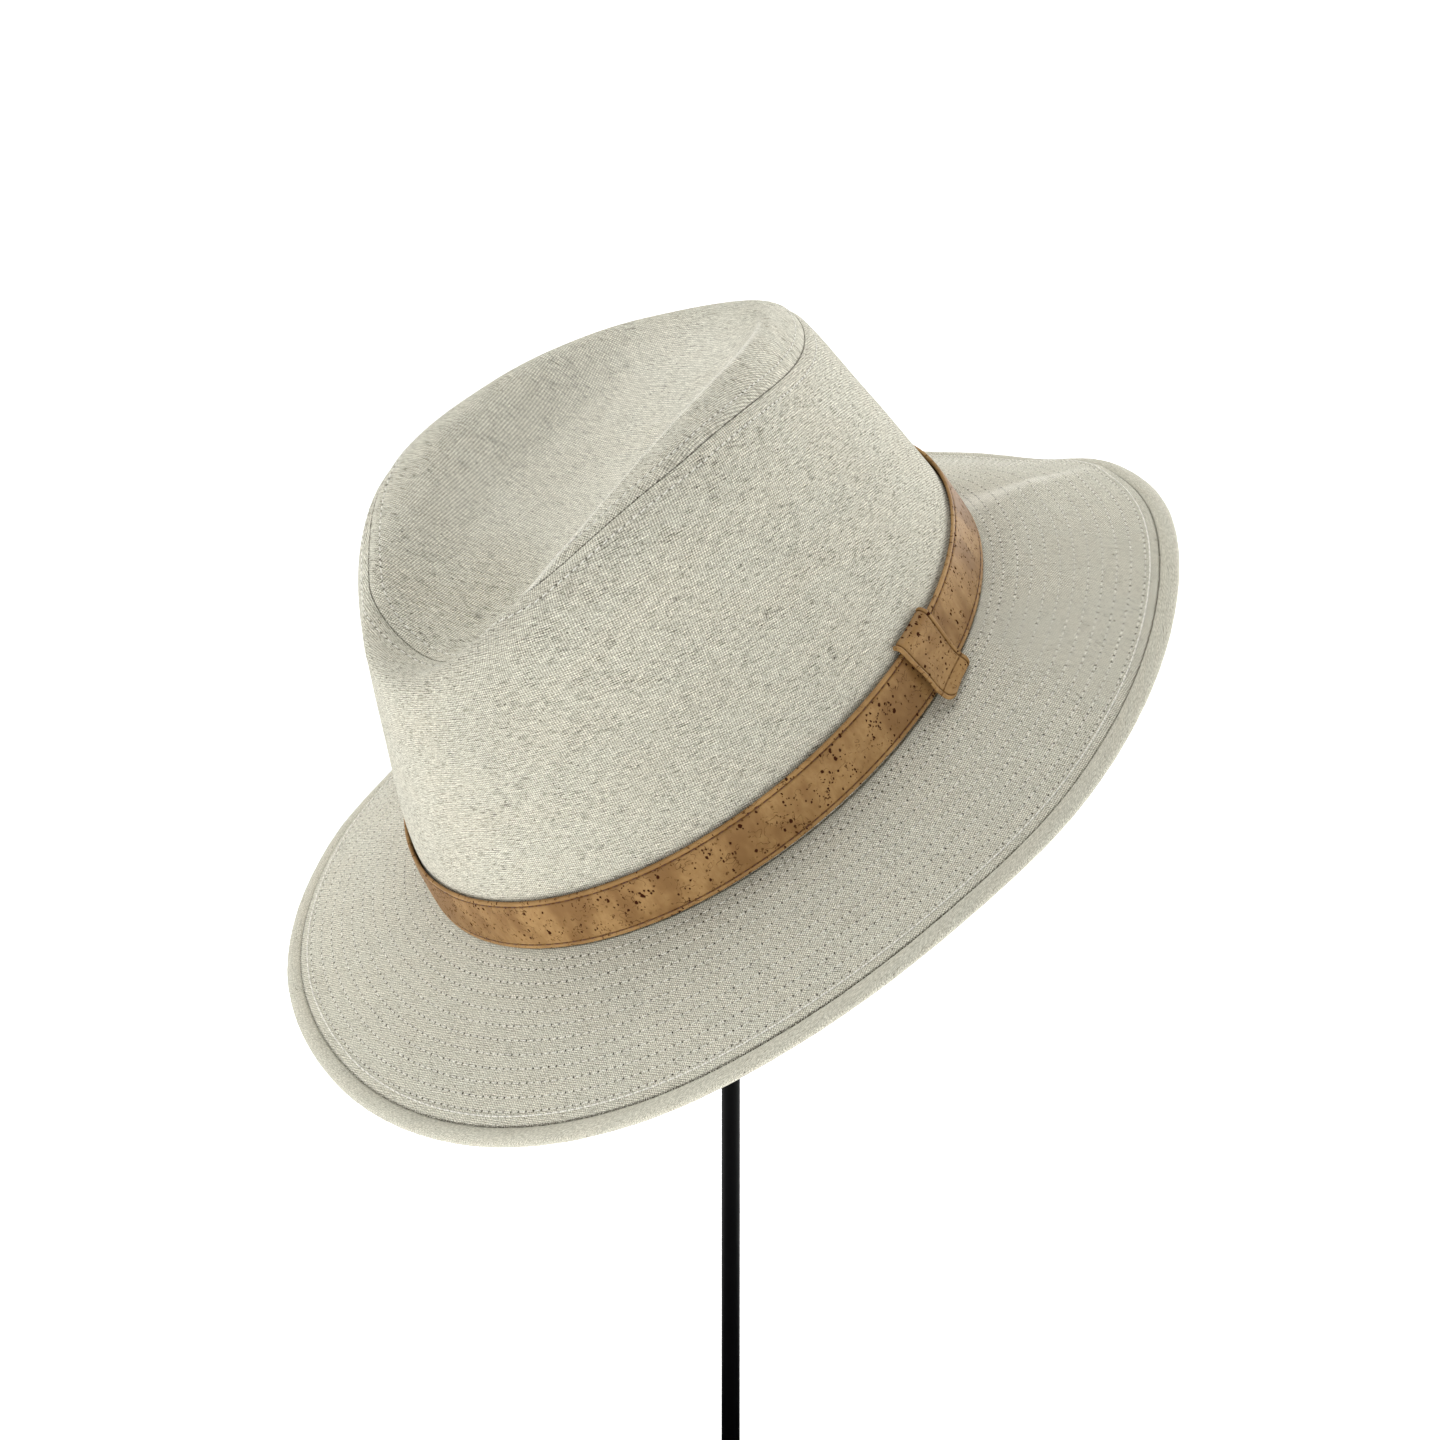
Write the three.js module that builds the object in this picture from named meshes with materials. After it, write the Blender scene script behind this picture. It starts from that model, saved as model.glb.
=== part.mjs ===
import * as THREE from 'three';

// A cloth safari hat with a pinched teardrop crown, resting tipped forward on a thin display stand.
// Millimetres and degrees. The stand stands on z = 0 under its pole, and the hat looks towards -Y.
//
// The hat is drawn upright in a frame of its own: x to the front, y to the wearer's left, z up, with
// its origin at the middle of the crown's foot. Angles go round it from the front to the left.

const CLOTH = 2;
const GAP = 0.3;
const AROUND = 72;

const LINEN = { color: 0xdbd7c4, roughness: 0.95, metalness: 0 };
const CORK = { color: 0xb0875a, roughness: 0.8, metalness: 0 };
const BLACK_PAINT = { color: 0x101012, roughness: 0.4, metalness: 0 };

// The crown is a smooth surface through these rings, foot to dent floor. front, side and back are
// where a ring crosses the hat's middle lines. half45, half90 and half135 are its half widths and z0
// to z180 its heights at those angles. The last ring is folded flat: it is the floor line of the dent.
const CROWN_RINGS = [
  { name: 'foot', front: 99.7, side: 0, back: -99.7, half45: 58.8, half90: 83.3, half135: 58.8,
    z0: -2, z45: -2, z90: -2, z135: -2, z180: -2 },
  { name: 'band top', front: 98.5, side: 0, back: -98.5, half45: 56.7, half90: 80.2, half135: 56.7,
    z0: 18, z45: 18, z90: 18, z135: 18, z180: 18 },
  { name: 'waist', front: 93.9, side: -1, back: -96.9, half45: 46, half90: 70.7, half135: 49.3,
    z0: 49.8, z45: 52.1, z90: 56.1, z135: 47.7, z180: 41.9 },
  { name: 'shoulder', front: 89.4, side: -0.5, back: -95.9, half45: 33, half90: 56.6, half135: 36.3,
    z0: 74, z45: 86, z90: 98.4, z135: 75.8, z180: 70.2 },
  { name: 'crest', front: 83.9, side: -1.4, back: -79.4, half45: 29.9, half90: 44.5, half135: 33.7,
    z0: 87.3, z45: 94.1, z90: 101.2, z135: 90.8, z180: 82.3 },
  { name: 'dent slope', front: 68.3, side: -1, back: -57.9, half45: 17.5, half90: 25.2, half135: 21.6,
    z0: 80.9, z45: 83.1, z90: 82.2, z135: 80.2, z180: 79.6 },
  { name: 'dent floor', front: 44, side: 0, back: -34, half45: 0, half90: 0, half135: 0,
    z0: 74.4, z45: 72.5, z90: 71, z135: 73.2, z180: 75.6 },
];
const FLOOR_RING = CROWN_RINGS.length - 1;

// The seam between the side panels and the top panel lies on the shoulder ring at the sides and back,
// and dips over the crest to the dent slope at the front. Rows are shares of the way to the seam, and
// from the seam to the floor line.
const SEAM = { ring: 3, dip: 2, power: 1.7 };
const SIDE_ROWS = [0, 0.2, 0.38, 0.52, 0.64, 0.74, 0.83, 0.92, 1];
const TIP_ROWS = [0, 0.12, 0.25, 0.4, 0.55, 0.7, 0.85, 1];

// The brim falls away from this oval round the crown's foot. width runs down its slope to the outer
// edge of the binding, and the droops are the slope's angle below level on either side of the hat.
const BRIM_OVAL = { long: 100.9, wide: 84.5 };
const BRIM_TUCK = 1.1;
const BRIM_STATIONS = [
  { angle: 0, width: 56.7, droopLeft: 25.7, droopRight: 25.7 },
  { angle: 22.5, width: 57.3, droopLeft: 23.5, droopRight: 21.4 },
  { angle: 45, width: 57.5, droopLeft: 17.7, droopRight: 15.6 },
  { angle: 67.5, width: 55.9, droopLeft: 17.8, droopRight: 17.5 },
  { angle: 90, width: 54.3, droopLeft: 24.9, droopRight: 25.1 },
  { angle: 112.5, width: 54.7, droopLeft: 26.2, droopRight: 24.2 },
  { angle: 135, width: 56.2, droopLeft: 23.7, droopRight: 19.2 },
  { angle: 157.5, width: 56.9, droopLeft: 30.3, droopRight: 26.4 },
  { angle: 180, width: 56.9, droopLeft: 35.5, droopRight: 35.5 },
];
// Rows are shares of the way out from the brim's inner edge.
const BRIM_ROWS = [1, 0.84, 0.68, 0.51, 0.34, 0.17, 0];

// The rolled binding that closes the brim's edge, and the ditch between the two.
const BINDING = { width: 5.6, thickness: 3.6, sides: 10, ditch: 0.4 };

// Heights of the band on the crown, above the foot of the brim.
const BAND = { low: 1, high: 18, thickness: 1.2, rows: 3 };

// The keeper is a loop over the band on the wearer's left. Its front edge stands off by the lift.
const KEEPER = { from: 93.5, to: 104, steps: 6, low: 0.6, high: 19.6, thickness: 1.2, lift: 0.8 };

// The stand holds the hat pitched forward. The pole rises through the opening, behind its middle, to
// a domed head under the back of the dent. The dome starts at its neck, degrees below level.
const HAT_PITCH = 40.5;
const HAT_HEIGHT = 246;
const POLE_BEHIND_MIDDLE = 14.7;
const POLE = { radius: 2.75, sides: 24 };
const HEAD = { radius: 15.8, rise: 83, stem: 26, waist: 5, neck: 55, arcs: 8 };
const BASE = { radius: 80, height: 6, bevel: 1.5, socket: 3, sides: 48 };

const radians = THREE.MathUtils.degToRad;
const EPSILON = 0.001;
const TINY = 1e-6;

// The angle of a column. The two sides of the hat are mirrored exactly.
function columnAngle(column) {
  const half = AROUND / 2;
  return radians(360 / AROUND) * (column <= half ? column : column - AROUND);
}

// A cosine series through the values at 0, 45, 90, 135 and 180 degrees, for heights.
function heightAround(ring, angle) {
  const values = [ring.z0 / 2, ring.z45, ring.z90, ring.z135, ring.z180 / 2];
  const weight = (k) => values.reduce((sum, value, i) => sum + value * Math.cos(k * i * Math.PI / 4), 0);
  const terms = [0, 1, 2, 3, 4].map((k) => weight(k) / (k % 4 ? 2 : 4) * Math.cos(k * angle));
  return terms.reduce((sum, term) => sum + term, 0);
}

// A sine series through the half widths at 45, 90 and 135 degrees.
function widthAround(ring, angle) {
  const diagonal = (ring.half45 + ring.half135) / Math.SQRT2;
  return (diagonal + ring.half90) / 2 * Math.sin(angle)
    + (ring.half45 - ring.half135) / 2 * Math.sin(2 * angle)
    + (diagonal - ring.half90) / 2 * Math.sin(3 * angle);
}

function ringPoint(ring, angle) {
  const middle = (ring.front + ring.back) / 4;
  const x = middle + ring.side / 2
    + (ring.front - ring.back) / 2 * Math.cos(angle)
    + (middle - ring.side / 2) * Math.cos(2 * angle);
  return new THREE.Vector3(x, widthAround(ring, angle), heightAround(ring, angle));
}

// The tangent at b of a smooth curve through a, b and c, whose spans are before and after.
function tangentAt(a, b, c, before, after) {
  const incoming = b.clone().sub(a).divideScalar(before);
  const outgoing = c.clone().sub(b).divideScalar(after);
  const across = c.clone().sub(a).divideScalar(before + after);
  return incoming.add(outgoing).sub(across);
}

// A point of the crown's outer face, by angle and by place along the rings: 0 is the foot ring and
// FLOOR_RING the dent's floor. The curve runs on straight below the foot, and past the floor it goes
// on up the far side of the dent.
function crownPoint(angle, place) {
  const rings = CROWN_RINGS.map((ring) => ringPoint(ring, angle));
  const below = rings[0].clone().multiplyScalar(2).sub(rings[1]);
  const slope = rings[FLOOR_RING - 1];
  const beyond = new THREE.Vector3(2 * rings[FLOOR_RING].x - slope.x, -slope.y, slope.z);
  const index = THREE.MathUtils.clamp(Math.floor(place), 0, FLOOR_RING - 1);
  const [p0, p1, p2, p3] = [below, ...rings, beyond].slice(index, index + 4);
  const span = (a, b) => Math.sqrt(a.distanceTo(b)) + TINY;
  const step = span(p1, p2);
  const leave = tangentAt(p0, p1, p2, span(p0, p1), step).multiplyScalar(step);
  const arrive = tangentAt(p1, p2, p3, step, span(p2, p3)).multiplyScalar(step);
  const u = place - index;
  return new THREE.Vector3()
    .addScaledVector(p1, 2 * u ** 3 - 3 * u ** 2 + 1)
    .addScaledVector(leave, u ** 3 - 2 * u ** 2 + u)
    .addScaledVector(p2, 3 * u ** 2 - 2 * u ** 3)
    .addScaledVector(arrive, u ** 3 - u ** 2);
}

// The outward normal of the crown at a point.
function crownNormal(angle, place) {
  const at = Math.min(place, FLOOR_RING - EPSILON);
  const along = crownPoint(angle, at + EPSILON).sub(crownPoint(angle, at - EPSILON));
  const around = crownPoint(angle + EPSILON, at).sub(crownPoint(angle - EPSILON, at));
  const normal = around.cross(along).normalize();
  return place === FLOOR_RING ? normal.setY(0).normalize() : normal;
}

// A point off the crown's outer face by a distance, outwards if positive.
function offCrown(angle, place, distance) {
  return crownPoint(angle, place).addScaledVector(crownNormal(angle, place), distance);
}

// The place on the crown's wall at a height, by halving.
function placeAtHeight(angle, height) {
  let [low, high] = [0, SEAM.ring];
  while (high - low > EPSILON) {
    const middle = (low + high) / 2;
    if (crownPoint(angle, middle).z < height) low = middle;
    else high = middle;
  }
  return low;
}

// The place of the seam's middle at an angle.
function seamMiddle(angle) {
  return SEAM.ring + SEAM.dip * Math.max(0, Math.cos(angle)) ** SEAM.power;
}

// The place of a panel's edge at the seam: half the gap off its middle, measured square to the seam,
// below it for the side panels (-1) and above it for the top panel (1).
function seamEdge(angle, panel) {
  const middle = seamMiddle(angle);
  const seam = (turn) => crownPoint(angle + turn, seamMiddle(angle + turn));
  const run = seam(EPSILON).sub(seam(-EPSILON)).normalize();
  const along = crownPoint(angle, middle + EPSILON).sub(crownPoint(angle, middle - EPSILON));
  const square = along.cross(run).length() / (2 * EPSILON);
  return middle + panel * GAP / 2 / square;
}

// A smooth periodic value through the brim's stations, left side first and then back along the right.
function aroundBrim(key, angle) {
  const left = BRIM_STATIONS.map((station) => station[key.left]);
  const right = BRIM_STATIONS.slice(1, -1).map((station) => station[key.right]).reverse();
  const values = [...left, ...right];
  const count = values.length;
  const position = (angle / (2 * Math.PI) * count + count) % count;
  const index = Math.floor(position);
  const u = position - index;
  const [v0, v1, v2, v3] = [-1, 0, 1, 2].map((k) => values[(index + k + count) % count]);
  return v1 + u / 2 * (v2 - v0 + u * (2 * v0 - 5 * v1 + 4 * v2 - v3 + u * (3 * v1 - v0 - 3 * v2 + v3)));
}

const brimWidth = (angle) => aroundBrim({ left: 'width', right: 'width' }, angle);
const brimDroop = (angle) => radians(aroundBrim({ left: 'droopLeft', right: 'droopRight' }, angle));

// A point over the brim, by its run down the slope and its distance off the upper face.
function brimPoint(angle, run, off) {
  const { long, wide } = BRIM_OVAL;
  const outward = new THREE.Vector3(wide * Math.cos(angle), long * Math.sin(angle), 0).normalize();
  const droop = brimDroop(angle);
  const point = new THREE.Vector3(long * Math.cos(angle), wide * Math.sin(angle), 0);
  point.addScaledVector(outward, run * Math.cos(droop) + off * Math.sin(droop));
  return point.setZ(off * Math.cos(droop) - run * Math.sin(droop));
}

function geometryOf(points, faces) {
  const geometry = new THREE.BufferGeometry();
  geometry.setAttribute('position', new THREE.Float32BufferAttribute(points.flatMap((p) => p.toArray()), 3));
  geometry.setIndex(faces.flat());
  geometry.computeVertexNormals();
  return geometry;
}

// A closed wall between an outer and an inner face, given as rows of points that climb the outer face.
// A ring's rows go once round the hat, and another wall has a flat end at its first and last columns.
// A folded ring has its last rows folded together, so their mirrored points are shared and they need
// no rim.
function wallGeometry(outer, inner, { ring = true, folded = false } = {}) {
  const last = outer.length - 1;
  const count = outer[0].length;
  const points = [...outer.flat(), ...inner.flat()];
  const at = (sheet, row, column) => {
    const wrapped = column % count;
    const shared = folded && row === last ? Math.min(wrapped, count - wrapped) : wrapped;
    return (sheet * outer.length + row) * count + shared;
  };
  const faces = [];
  const quad = (a, b, c, d) => faces.push([a, b, c], [a, c, d]);
  for (let column = 0; column < (ring ? count : count - 1); column += 1) {
    const next = column + 1;
    for (let row = 0; row < last; row += 1) {
      quad(at(0, row, column), at(0, row, next), at(0, row + 1, next), at(0, row + 1, column));
      quad(at(1, row, next), at(1, row, column), at(1, row + 1, column), at(1, row + 1, next));
    }
    quad(at(0, 0, column), at(1, 0, column), at(1, 0, next), at(0, 0, next));
    if (!folded) quad(at(0, last, column), at(0, last, next), at(1, last, next), at(1, last, column));
  }
  const end = count - 1;
  for (let row = 0; row < last && !ring; row += 1) {
    quad(at(0, row, 0), at(0, row + 1, 0), at(1, row + 1, 0), at(1, row, 0));
    quad(at(0, row + 1, end), at(0, row, end), at(1, row, end), at(1, row + 1, end));
  }
  return geometryOf(points, faces);
}

// A solid that carries a closed section along the given stations, and ends in flat caps or, as a
// ring, meets its own start. Sections turn so that their faces look outwards.
function sweptGeometry(sections, ring) {
  const sides = sections[0].length;
  const at = (station, side) => (station % sections.length) * sides + side % sides;
  const faces = [];
  const bays = ring ? sections.length : sections.length - 1;
  for (let station = 0; station < bays; station += 1) {
    for (let side = 0; side < sides; side += 1) {
      const [a, b] = [at(station, side), at(station, side + 1)];
      const [c, d] = [at(station + 1, side + 1), at(station + 1, side)];
      faces.push([a, b, c], [a, c, d]);
    }
  }
  return { points: sections.flat(), faces };
}

const allAngles = Array.from({ length: AROUND }, (unused, column) => columnAngle(column));

function wallRows(rows, pointAt, angles = allAngles) {
  return rows.map((row) => angles.map((angle) => pointAt(angle, row)));
}

// One of the two side panels: the wearer's left (1) or right (-1). They meet on the middle line at the
// front and the back, with the gap between them.
function sidePanelGeometry(side) {
  const half = AROUND / 2;
  const first = side < 0 ? -half : 0;
  const angles = Array.from({ length: half + 1 }, (unused, step) => Math.PI * (first + step) / half);
  const pointAt = (angle, row, distance) => {
    const point = offCrown(angle, row * seamEdge(angle, -1), distance);
    return point.setY(side * Math.max(side * point.y, GAP / 2));
  };
  const outer = wallRows(SIDE_ROWS, (angle, row) => pointAt(angle, row, 0), angles);
  const inner = wallRows(SIDE_ROWS, (angle, row) => pointAt(angle, row, -CLOTH), angles);
  return wallGeometry(outer, inner, { ring: false });
}

function crownTipGeometry() {
  const place = (angle, row) => {
    if (row === 1) return FLOOR_RING;
    const seam = seamEdge(angle, 1);
    return seam + row * (FLOOR_RING - seam);
  };
  const outer = wallRows(TIP_ROWS, (angle, row) => offCrown(angle, place(angle, row), 0));
  const inner = wallRows(TIP_ROWS, (angle, row) => offCrown(angle, place(angle, row), -CLOTH));
  return wallGeometry(outer, inner, { folded: true });
}

// The brim's inner edge is cut upright, to stand beside the crown's wall.
function brimGeometry() {
  const outerRun = (angle) => brimWidth(angle) - BINDING.width - BINDING.ditch;
  const run = (angle, row) => row * (outerRun(angle) + BRIM_TUCK) - BRIM_TUCK;
  const upper = wallRows(BRIM_ROWS, (angle, row) => brimPoint(angle, run(angle, row), 0));
  const lower = wallRows(BRIM_ROWS, (angle, row) => {
    if (row > 0) return brimPoint(angle, run(angle, row), -CLOTH);
    const edge = brimPoint(angle, -BRIM_TUCK, 0);
    return edge.setZ(edge.z - CLOTH / Math.cos(brimDroop(angle)));
  });
  return wallGeometry(upper, lower);
}

// The binding is a rounded roll whose middle lies on the middle of the cloth.
function bindingGeometry() {
  const section = (angle) => Array.from({ length: BINDING.sides }, (unused, side) => {
    const turn = -2 * Math.PI * side / BINDING.sides;
    const run = brimWidth(angle) - BINDING.width / 2 * (1 - Math.cos(turn));
    return brimPoint(angle, run, BINDING.thickness / 2 * Math.sin(turn) - CLOTH / 2);
  });
  const { points, faces } = sweptGeometry(allAngles.map(section), true);
  return geometryOf(points, faces);
}

function hatBandGeometry() {
  const rows = Array.from({ length: BAND.rows }, (unused, row) => row / (BAND.rows - 1));
  const place = (angle, row) => placeAtHeight(angle, BAND.low + row * (BAND.high - BAND.low));
  const outer = wallRows(rows, (angle, row) => offCrown(angle, place(angle, row), GAP + BAND.thickness));
  const inner = wallRows(rows, (angle, row) => offCrown(angle, place(angle, row), GAP));
  return wallGeometry(outer, inner);
}

// The keeper's section is a hook: a plate over the band and a leg in over its top edge.
function bandKeeperGeometry() {
  const near = 2 * GAP + BAND.thickness;
  const leg = BAND.high + GAP;
  const sections = Array.from({ length: KEEPER.steps + 1 }, (unused, step) => {
    const share = step / KEEPER.steps;
    const angle = radians(KEEPER.from + share * (KEEPER.to - KEEPER.from));
    const off = near + KEEPER.lift * (1 - share) ** 2;
    const corners = [
      [KEEPER.low, off], [leg, off], [leg, GAP], [KEEPER.high, GAP],
      [KEEPER.high, off + KEEPER.thickness], [KEEPER.low, off + KEEPER.thickness],
    ];
    return corners.map(([height, distance]) => offCrown(angle, placeAtHeight(angle, height), distance));
  });
  const { points, faces } = sweptGeometry(sections, false);
  const last = KEEPER.steps * sections[0].length;
  const cap = [[0, 1, 5], [1, 4, 5], [1, 2, 4], [2, 3, 4]];
  cap.forEach(([a, b, c]) => faces.push([a, c, b], [last + a, last + b, last + c]));
  return geometryOf(points, faces);
}

const lathe = (profile, sides) => {
  const points = profile.map(([radius, height]) => new THREE.Vector2(radius, height));
  return new THREE.LatheGeometry(points, sides).rotateX(Math.PI / 2);
};

// The height on the stand of the middle of the domed head.
function headHeight() {
  return HAT_HEIGHT + POLE_BEHIND_MIDDLE * Math.sin(radians(HAT_PITCH)) + HEAD.rise;
}

// The pole, flaring into the stem of a round head. It stands in the base's socket.
function standPostGeometry() {
  const centre = headHeight();
  const start = -radians(HEAD.neck);
  const dome = Array.from({ length: HEAD.arcs + 1 }, (unused, arc) => {
    const rise = start + arc / HEAD.arcs * (Math.PI / 2 - start);
    const radius = arc === HEAD.arcs ? 0 : HEAD.radius * Math.cos(rise);
    return [radius, centre + HEAD.radius * Math.sin(rise)];
  });
  const foot = BASE.height - BASE.socket + GAP;
  const profile = [
    [0, foot], [POLE.radius, foot], [POLE.radius, centre - HEAD.stem],
    [HEAD.waist, centre - HEAD.radius], ...dome,
  ];
  return lathe(profile, POLE.sides);
}

function standBaseGeometry() {
  const socket = POLE.radius + GAP;
  const profile = [
    [0, 0], [BASE.radius, 0], [BASE.radius, BASE.height - BASE.bevel],
    [BASE.radius - BASE.bevel, BASE.height], [socket, BASE.height],
    [socket, BASE.height - BASE.socket], [0, BASE.height - BASE.socket],
  ];
  return lathe(profile, BASE.sides);
}

function piece(name, geometry, finish) {
  const mesh = new THREE.Mesh(geometry, new THREE.MeshStandardMaterial(finish));
  mesh.name = name;
  return mesh;
}

const hat = new THREE.Group();
hat.add(piece('crown_side_left', sidePanelGeometry(1), LINEN));
hat.add(piece('crown_side_right', sidePanelGeometry(-1), LINEN));
hat.add(piece('crown_tip', crownTipGeometry(), LINEN));
hat.add(piece('brim', brimGeometry(), LINEN));
hat.add(piece('brim_binding', bindingGeometry(), LINEN));
hat.add(piece('hat_band', hatBandGeometry(), CORK));
hat.add(piece('band_keeper', bandKeeperGeometry(), CORK));
hat.rotation.set(radians(HAT_PITCH), 0, -Math.PI / 2);
hat.position.set(0, -POLE_BEHIND_MIDDLE * Math.cos(radians(HAT_PITCH)), HAT_HEIGHT);

const part = new THREE.Group();
part.add(hat);
part.add(piece('stand_post', standPostGeometry(), BLACK_PAINT));
part.add(piece('stand_base', standBaseGeometry(), BLACK_PAINT));

export default part;
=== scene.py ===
import math

import bpy
import numpy as np
from bpy.props import FloatProperty, FloatVectorProperty, IntProperty, PointerProperty
from bpy.types import Operator, Panel, PropertyGroup
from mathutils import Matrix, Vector


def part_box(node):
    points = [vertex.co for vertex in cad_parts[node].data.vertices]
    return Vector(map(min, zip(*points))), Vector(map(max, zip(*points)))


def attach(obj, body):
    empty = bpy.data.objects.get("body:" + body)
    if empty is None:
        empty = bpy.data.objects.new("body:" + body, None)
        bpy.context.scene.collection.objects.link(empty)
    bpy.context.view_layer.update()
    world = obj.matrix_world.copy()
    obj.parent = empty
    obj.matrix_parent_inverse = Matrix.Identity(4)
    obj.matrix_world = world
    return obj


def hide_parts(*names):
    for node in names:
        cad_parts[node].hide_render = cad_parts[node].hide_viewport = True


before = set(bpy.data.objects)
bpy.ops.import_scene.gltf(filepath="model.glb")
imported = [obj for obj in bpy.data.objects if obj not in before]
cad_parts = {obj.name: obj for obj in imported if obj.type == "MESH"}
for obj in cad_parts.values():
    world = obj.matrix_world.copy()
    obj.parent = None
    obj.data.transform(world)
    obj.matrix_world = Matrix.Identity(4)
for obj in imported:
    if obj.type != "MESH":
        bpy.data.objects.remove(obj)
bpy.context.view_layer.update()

bl_info = {
    "name": "Safari Hat on a Stand",
    "version": (1, 0, 0),
    "blender": (4, 5, 0),
    "location": "View3D > Sidebar > Safari Hat",
    "description": "A linen safari hat with a cork band, tipped forward on a thin display stand",
    "category": "Add Mesh",
}

MM = 0.001
SEED = 7

# The hat is worked out upright in a frame of its own, x to the front, y to the wearer's left and z up,
# from the middle of the crown's foot. Angles go round from the front to the left. The rings of the
# crown are given from the foot to the floor of the dent, in millimetres.
RING_COLUMNS = ("front", "side", "back", "half45", "half90", "half135", "z0", "z45", "z90", "z135", "z180")
CROWN_RINGS = (
    (99.7, 0, -99.7, 58.8, 83.3, 58.8, -2, -2, -2, -2, -2),
    (98.5, 0, -98.5, 56.7, 80.2, 56.7, 18, 18, 18, 18, 18),
    (93.9, -1, -96.9, 46, 70.7, 49.3, 49.8, 52.1, 56.1, 47.7, 41.9),
    (89.4, -0.5, -95.9, 33, 56.6, 36.3, 74, 86, 98.4, 75.8, 70.2),
    (83.9, -1.4, -79.4, 29.9, 44.5, 33.7, 87.3, 94.1, 101.2, 90.8, 82.3),
    (68.3, -1, -57.9, 17.5, 25.2, 21.6, 80.9, 83.1, 82.2, 80.2, 79.6),
    (44, 0, -34, 0, 0, 0, 74.4, 72.5, 71, 73.2, 75.6),
)
FLOOR_RING = len(CROWN_RINGS) - 1

# The seam between the side and the top panel lies on this ring at the back and rises by two rings in
# front, with a power of the cosine. The crest lies on the next ring.
SEAM_RING, SEAM_RISE, SEAM_POWER = 3, 2, 1.7
CREST_RING = 4

# The brim's width in millimetres and its slope below level in degrees, every 22.5 degrees from the
# front to the back: width left, width right, slope left, slope right.
BRIM_STATIONS = (
    (56.7, 56.7, 25.7, 25.7),
    (56.3, 57.6, 23.5, 21.4),
    (56.4, 58.3, 17.7, 15.6),
    (55.0, 56.8, 17.8, 17.5),
    (53.8, 54.6, 24.9, 25.1),
    (54.4, 54.7, 26.2, 24.2),
    (56.2, 56.2, 23.5, 19.2),
    (57.7, 56.9, 29.6, 26.6),
    (56.9, 56.9, 35.8, 35.8),
)

# Half axes of the oval that the brim starts from, and how far it reaches in under the crown.
BRIM_LONG, BRIM_WIDE, BRIM_TUCK = 100.9 * MM, 84.5 * MM, 1.1 * MM

# The brim's width at which its rows of stitching are spaced, and how far out the first of the even rows
# runs.
BRIM_MIDDLE, EVEN_ROWS_START = 56.5 * MM, 5.2 * MM

# Rounded radii that turn an angle into a length at the crown's foot, on the band and at the keeper.
FOOT_RADIUS, BAND_RADIUS, KEEPER_RADIUS = 95 * MM, 92 * MM, 97 * MM

# The brim's soft fold: its angle beside the band and how far it turns on the way out, its height, its
# reach to the front and to the back, and how round its top is.
FOLD_ANGLE, FOLD_TURN = math.radians(150.8), math.radians(8)
FOLD_HEIGHT, FOLD_FRONT, FOLD_BACK, FOLD_TOP = 3.6 * MM, 9 * MM, 26 * MM, 1.2 * MM

# Low places in the brim's edge: angle and spread in degrees, and depth in millimetres.
BRIM_LOWS = ((171, 7, 1.5), (191, 6, 1.1))

# Relief of the crown, each as a height or depth and a spread: the crest's sharper edge, the dip along the
# seam with its turned edge, the groove under a row of stitches, the low swell beside it and the join at
# the back.
CREST_RISE, CREST_SPREAD = 0.6 * MM, 1.6 * MM
SEAM_DEPTH, SEAM_SPREAD, SEAM_ROLL = 0.4 * MM, 1.6 * MM, 0.25 * MM
ROW_DEPTH, ROW_SPREAD = 0.14 * MM, 0.6 * MM
SWELL_RISE, SWELL_SPREAD, SWELL_INSET = 0.1 * MM, 0.9 * MM, 2.4 * MM
JOIN_DEPTH, JOIN_SPREAD = 0.4 * MM, 0.5 * MM

# The gap that touching pieces keep, the slit between the crown's panels, the seam's rows of stitches off
# it, and the thick stitch line on the brim off the row beside it.
GAP, SEAM_GAP = 0.3 * MM, 0.06 * MM
CROWN_STITCH_INSET, EDGE_LINE_STEP = 3.9 * MM, 1.3 * MM

# How far the hat is tipped forward, how far the pole stands behind the middle of its foot, and where that
# middle lies.
PITCH, POLE_BEHIND, HAT_HEIGHT = math.radians(40.5), 14.7 * MM, 246 * MM
HAT_PLACE = np.array((0, -POLE_BEHIND * math.cos(PITCH), HAT_HEIGHT))

# The small change of an angle or a place that slopes are measured over, and a distance in metres that
# keeps a face clear of marks such as needle holes.
NUDGE, AWAY = 1e-3, 1.0

# Distances off the seam of a crown panel's rows beside it, in millimetres, the other rows of both panels,
# and the step between the outer rows that the inside follows.
SEAM_ROWS = (0, 0.15, 0.35, 0.6, 0.9, 1.3, 1.8, 2.4, 2.9, 3.3, 3.6, 3.9, 4.2, 4.5, 4.9, 5.5, 6.2)
SIDE_ROWS, TIP_ROWS, INSIDE_STEP = 116, 100, 5

# Flat cuts of the crown's side and of the brim, each a piece of a cone: its share of a full turn, and the
# radius that its slant is measured from.
SIDE_CUT, BRIM_CUT = (0.225, 400 * MM), (0.93, 96 * MM)

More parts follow.
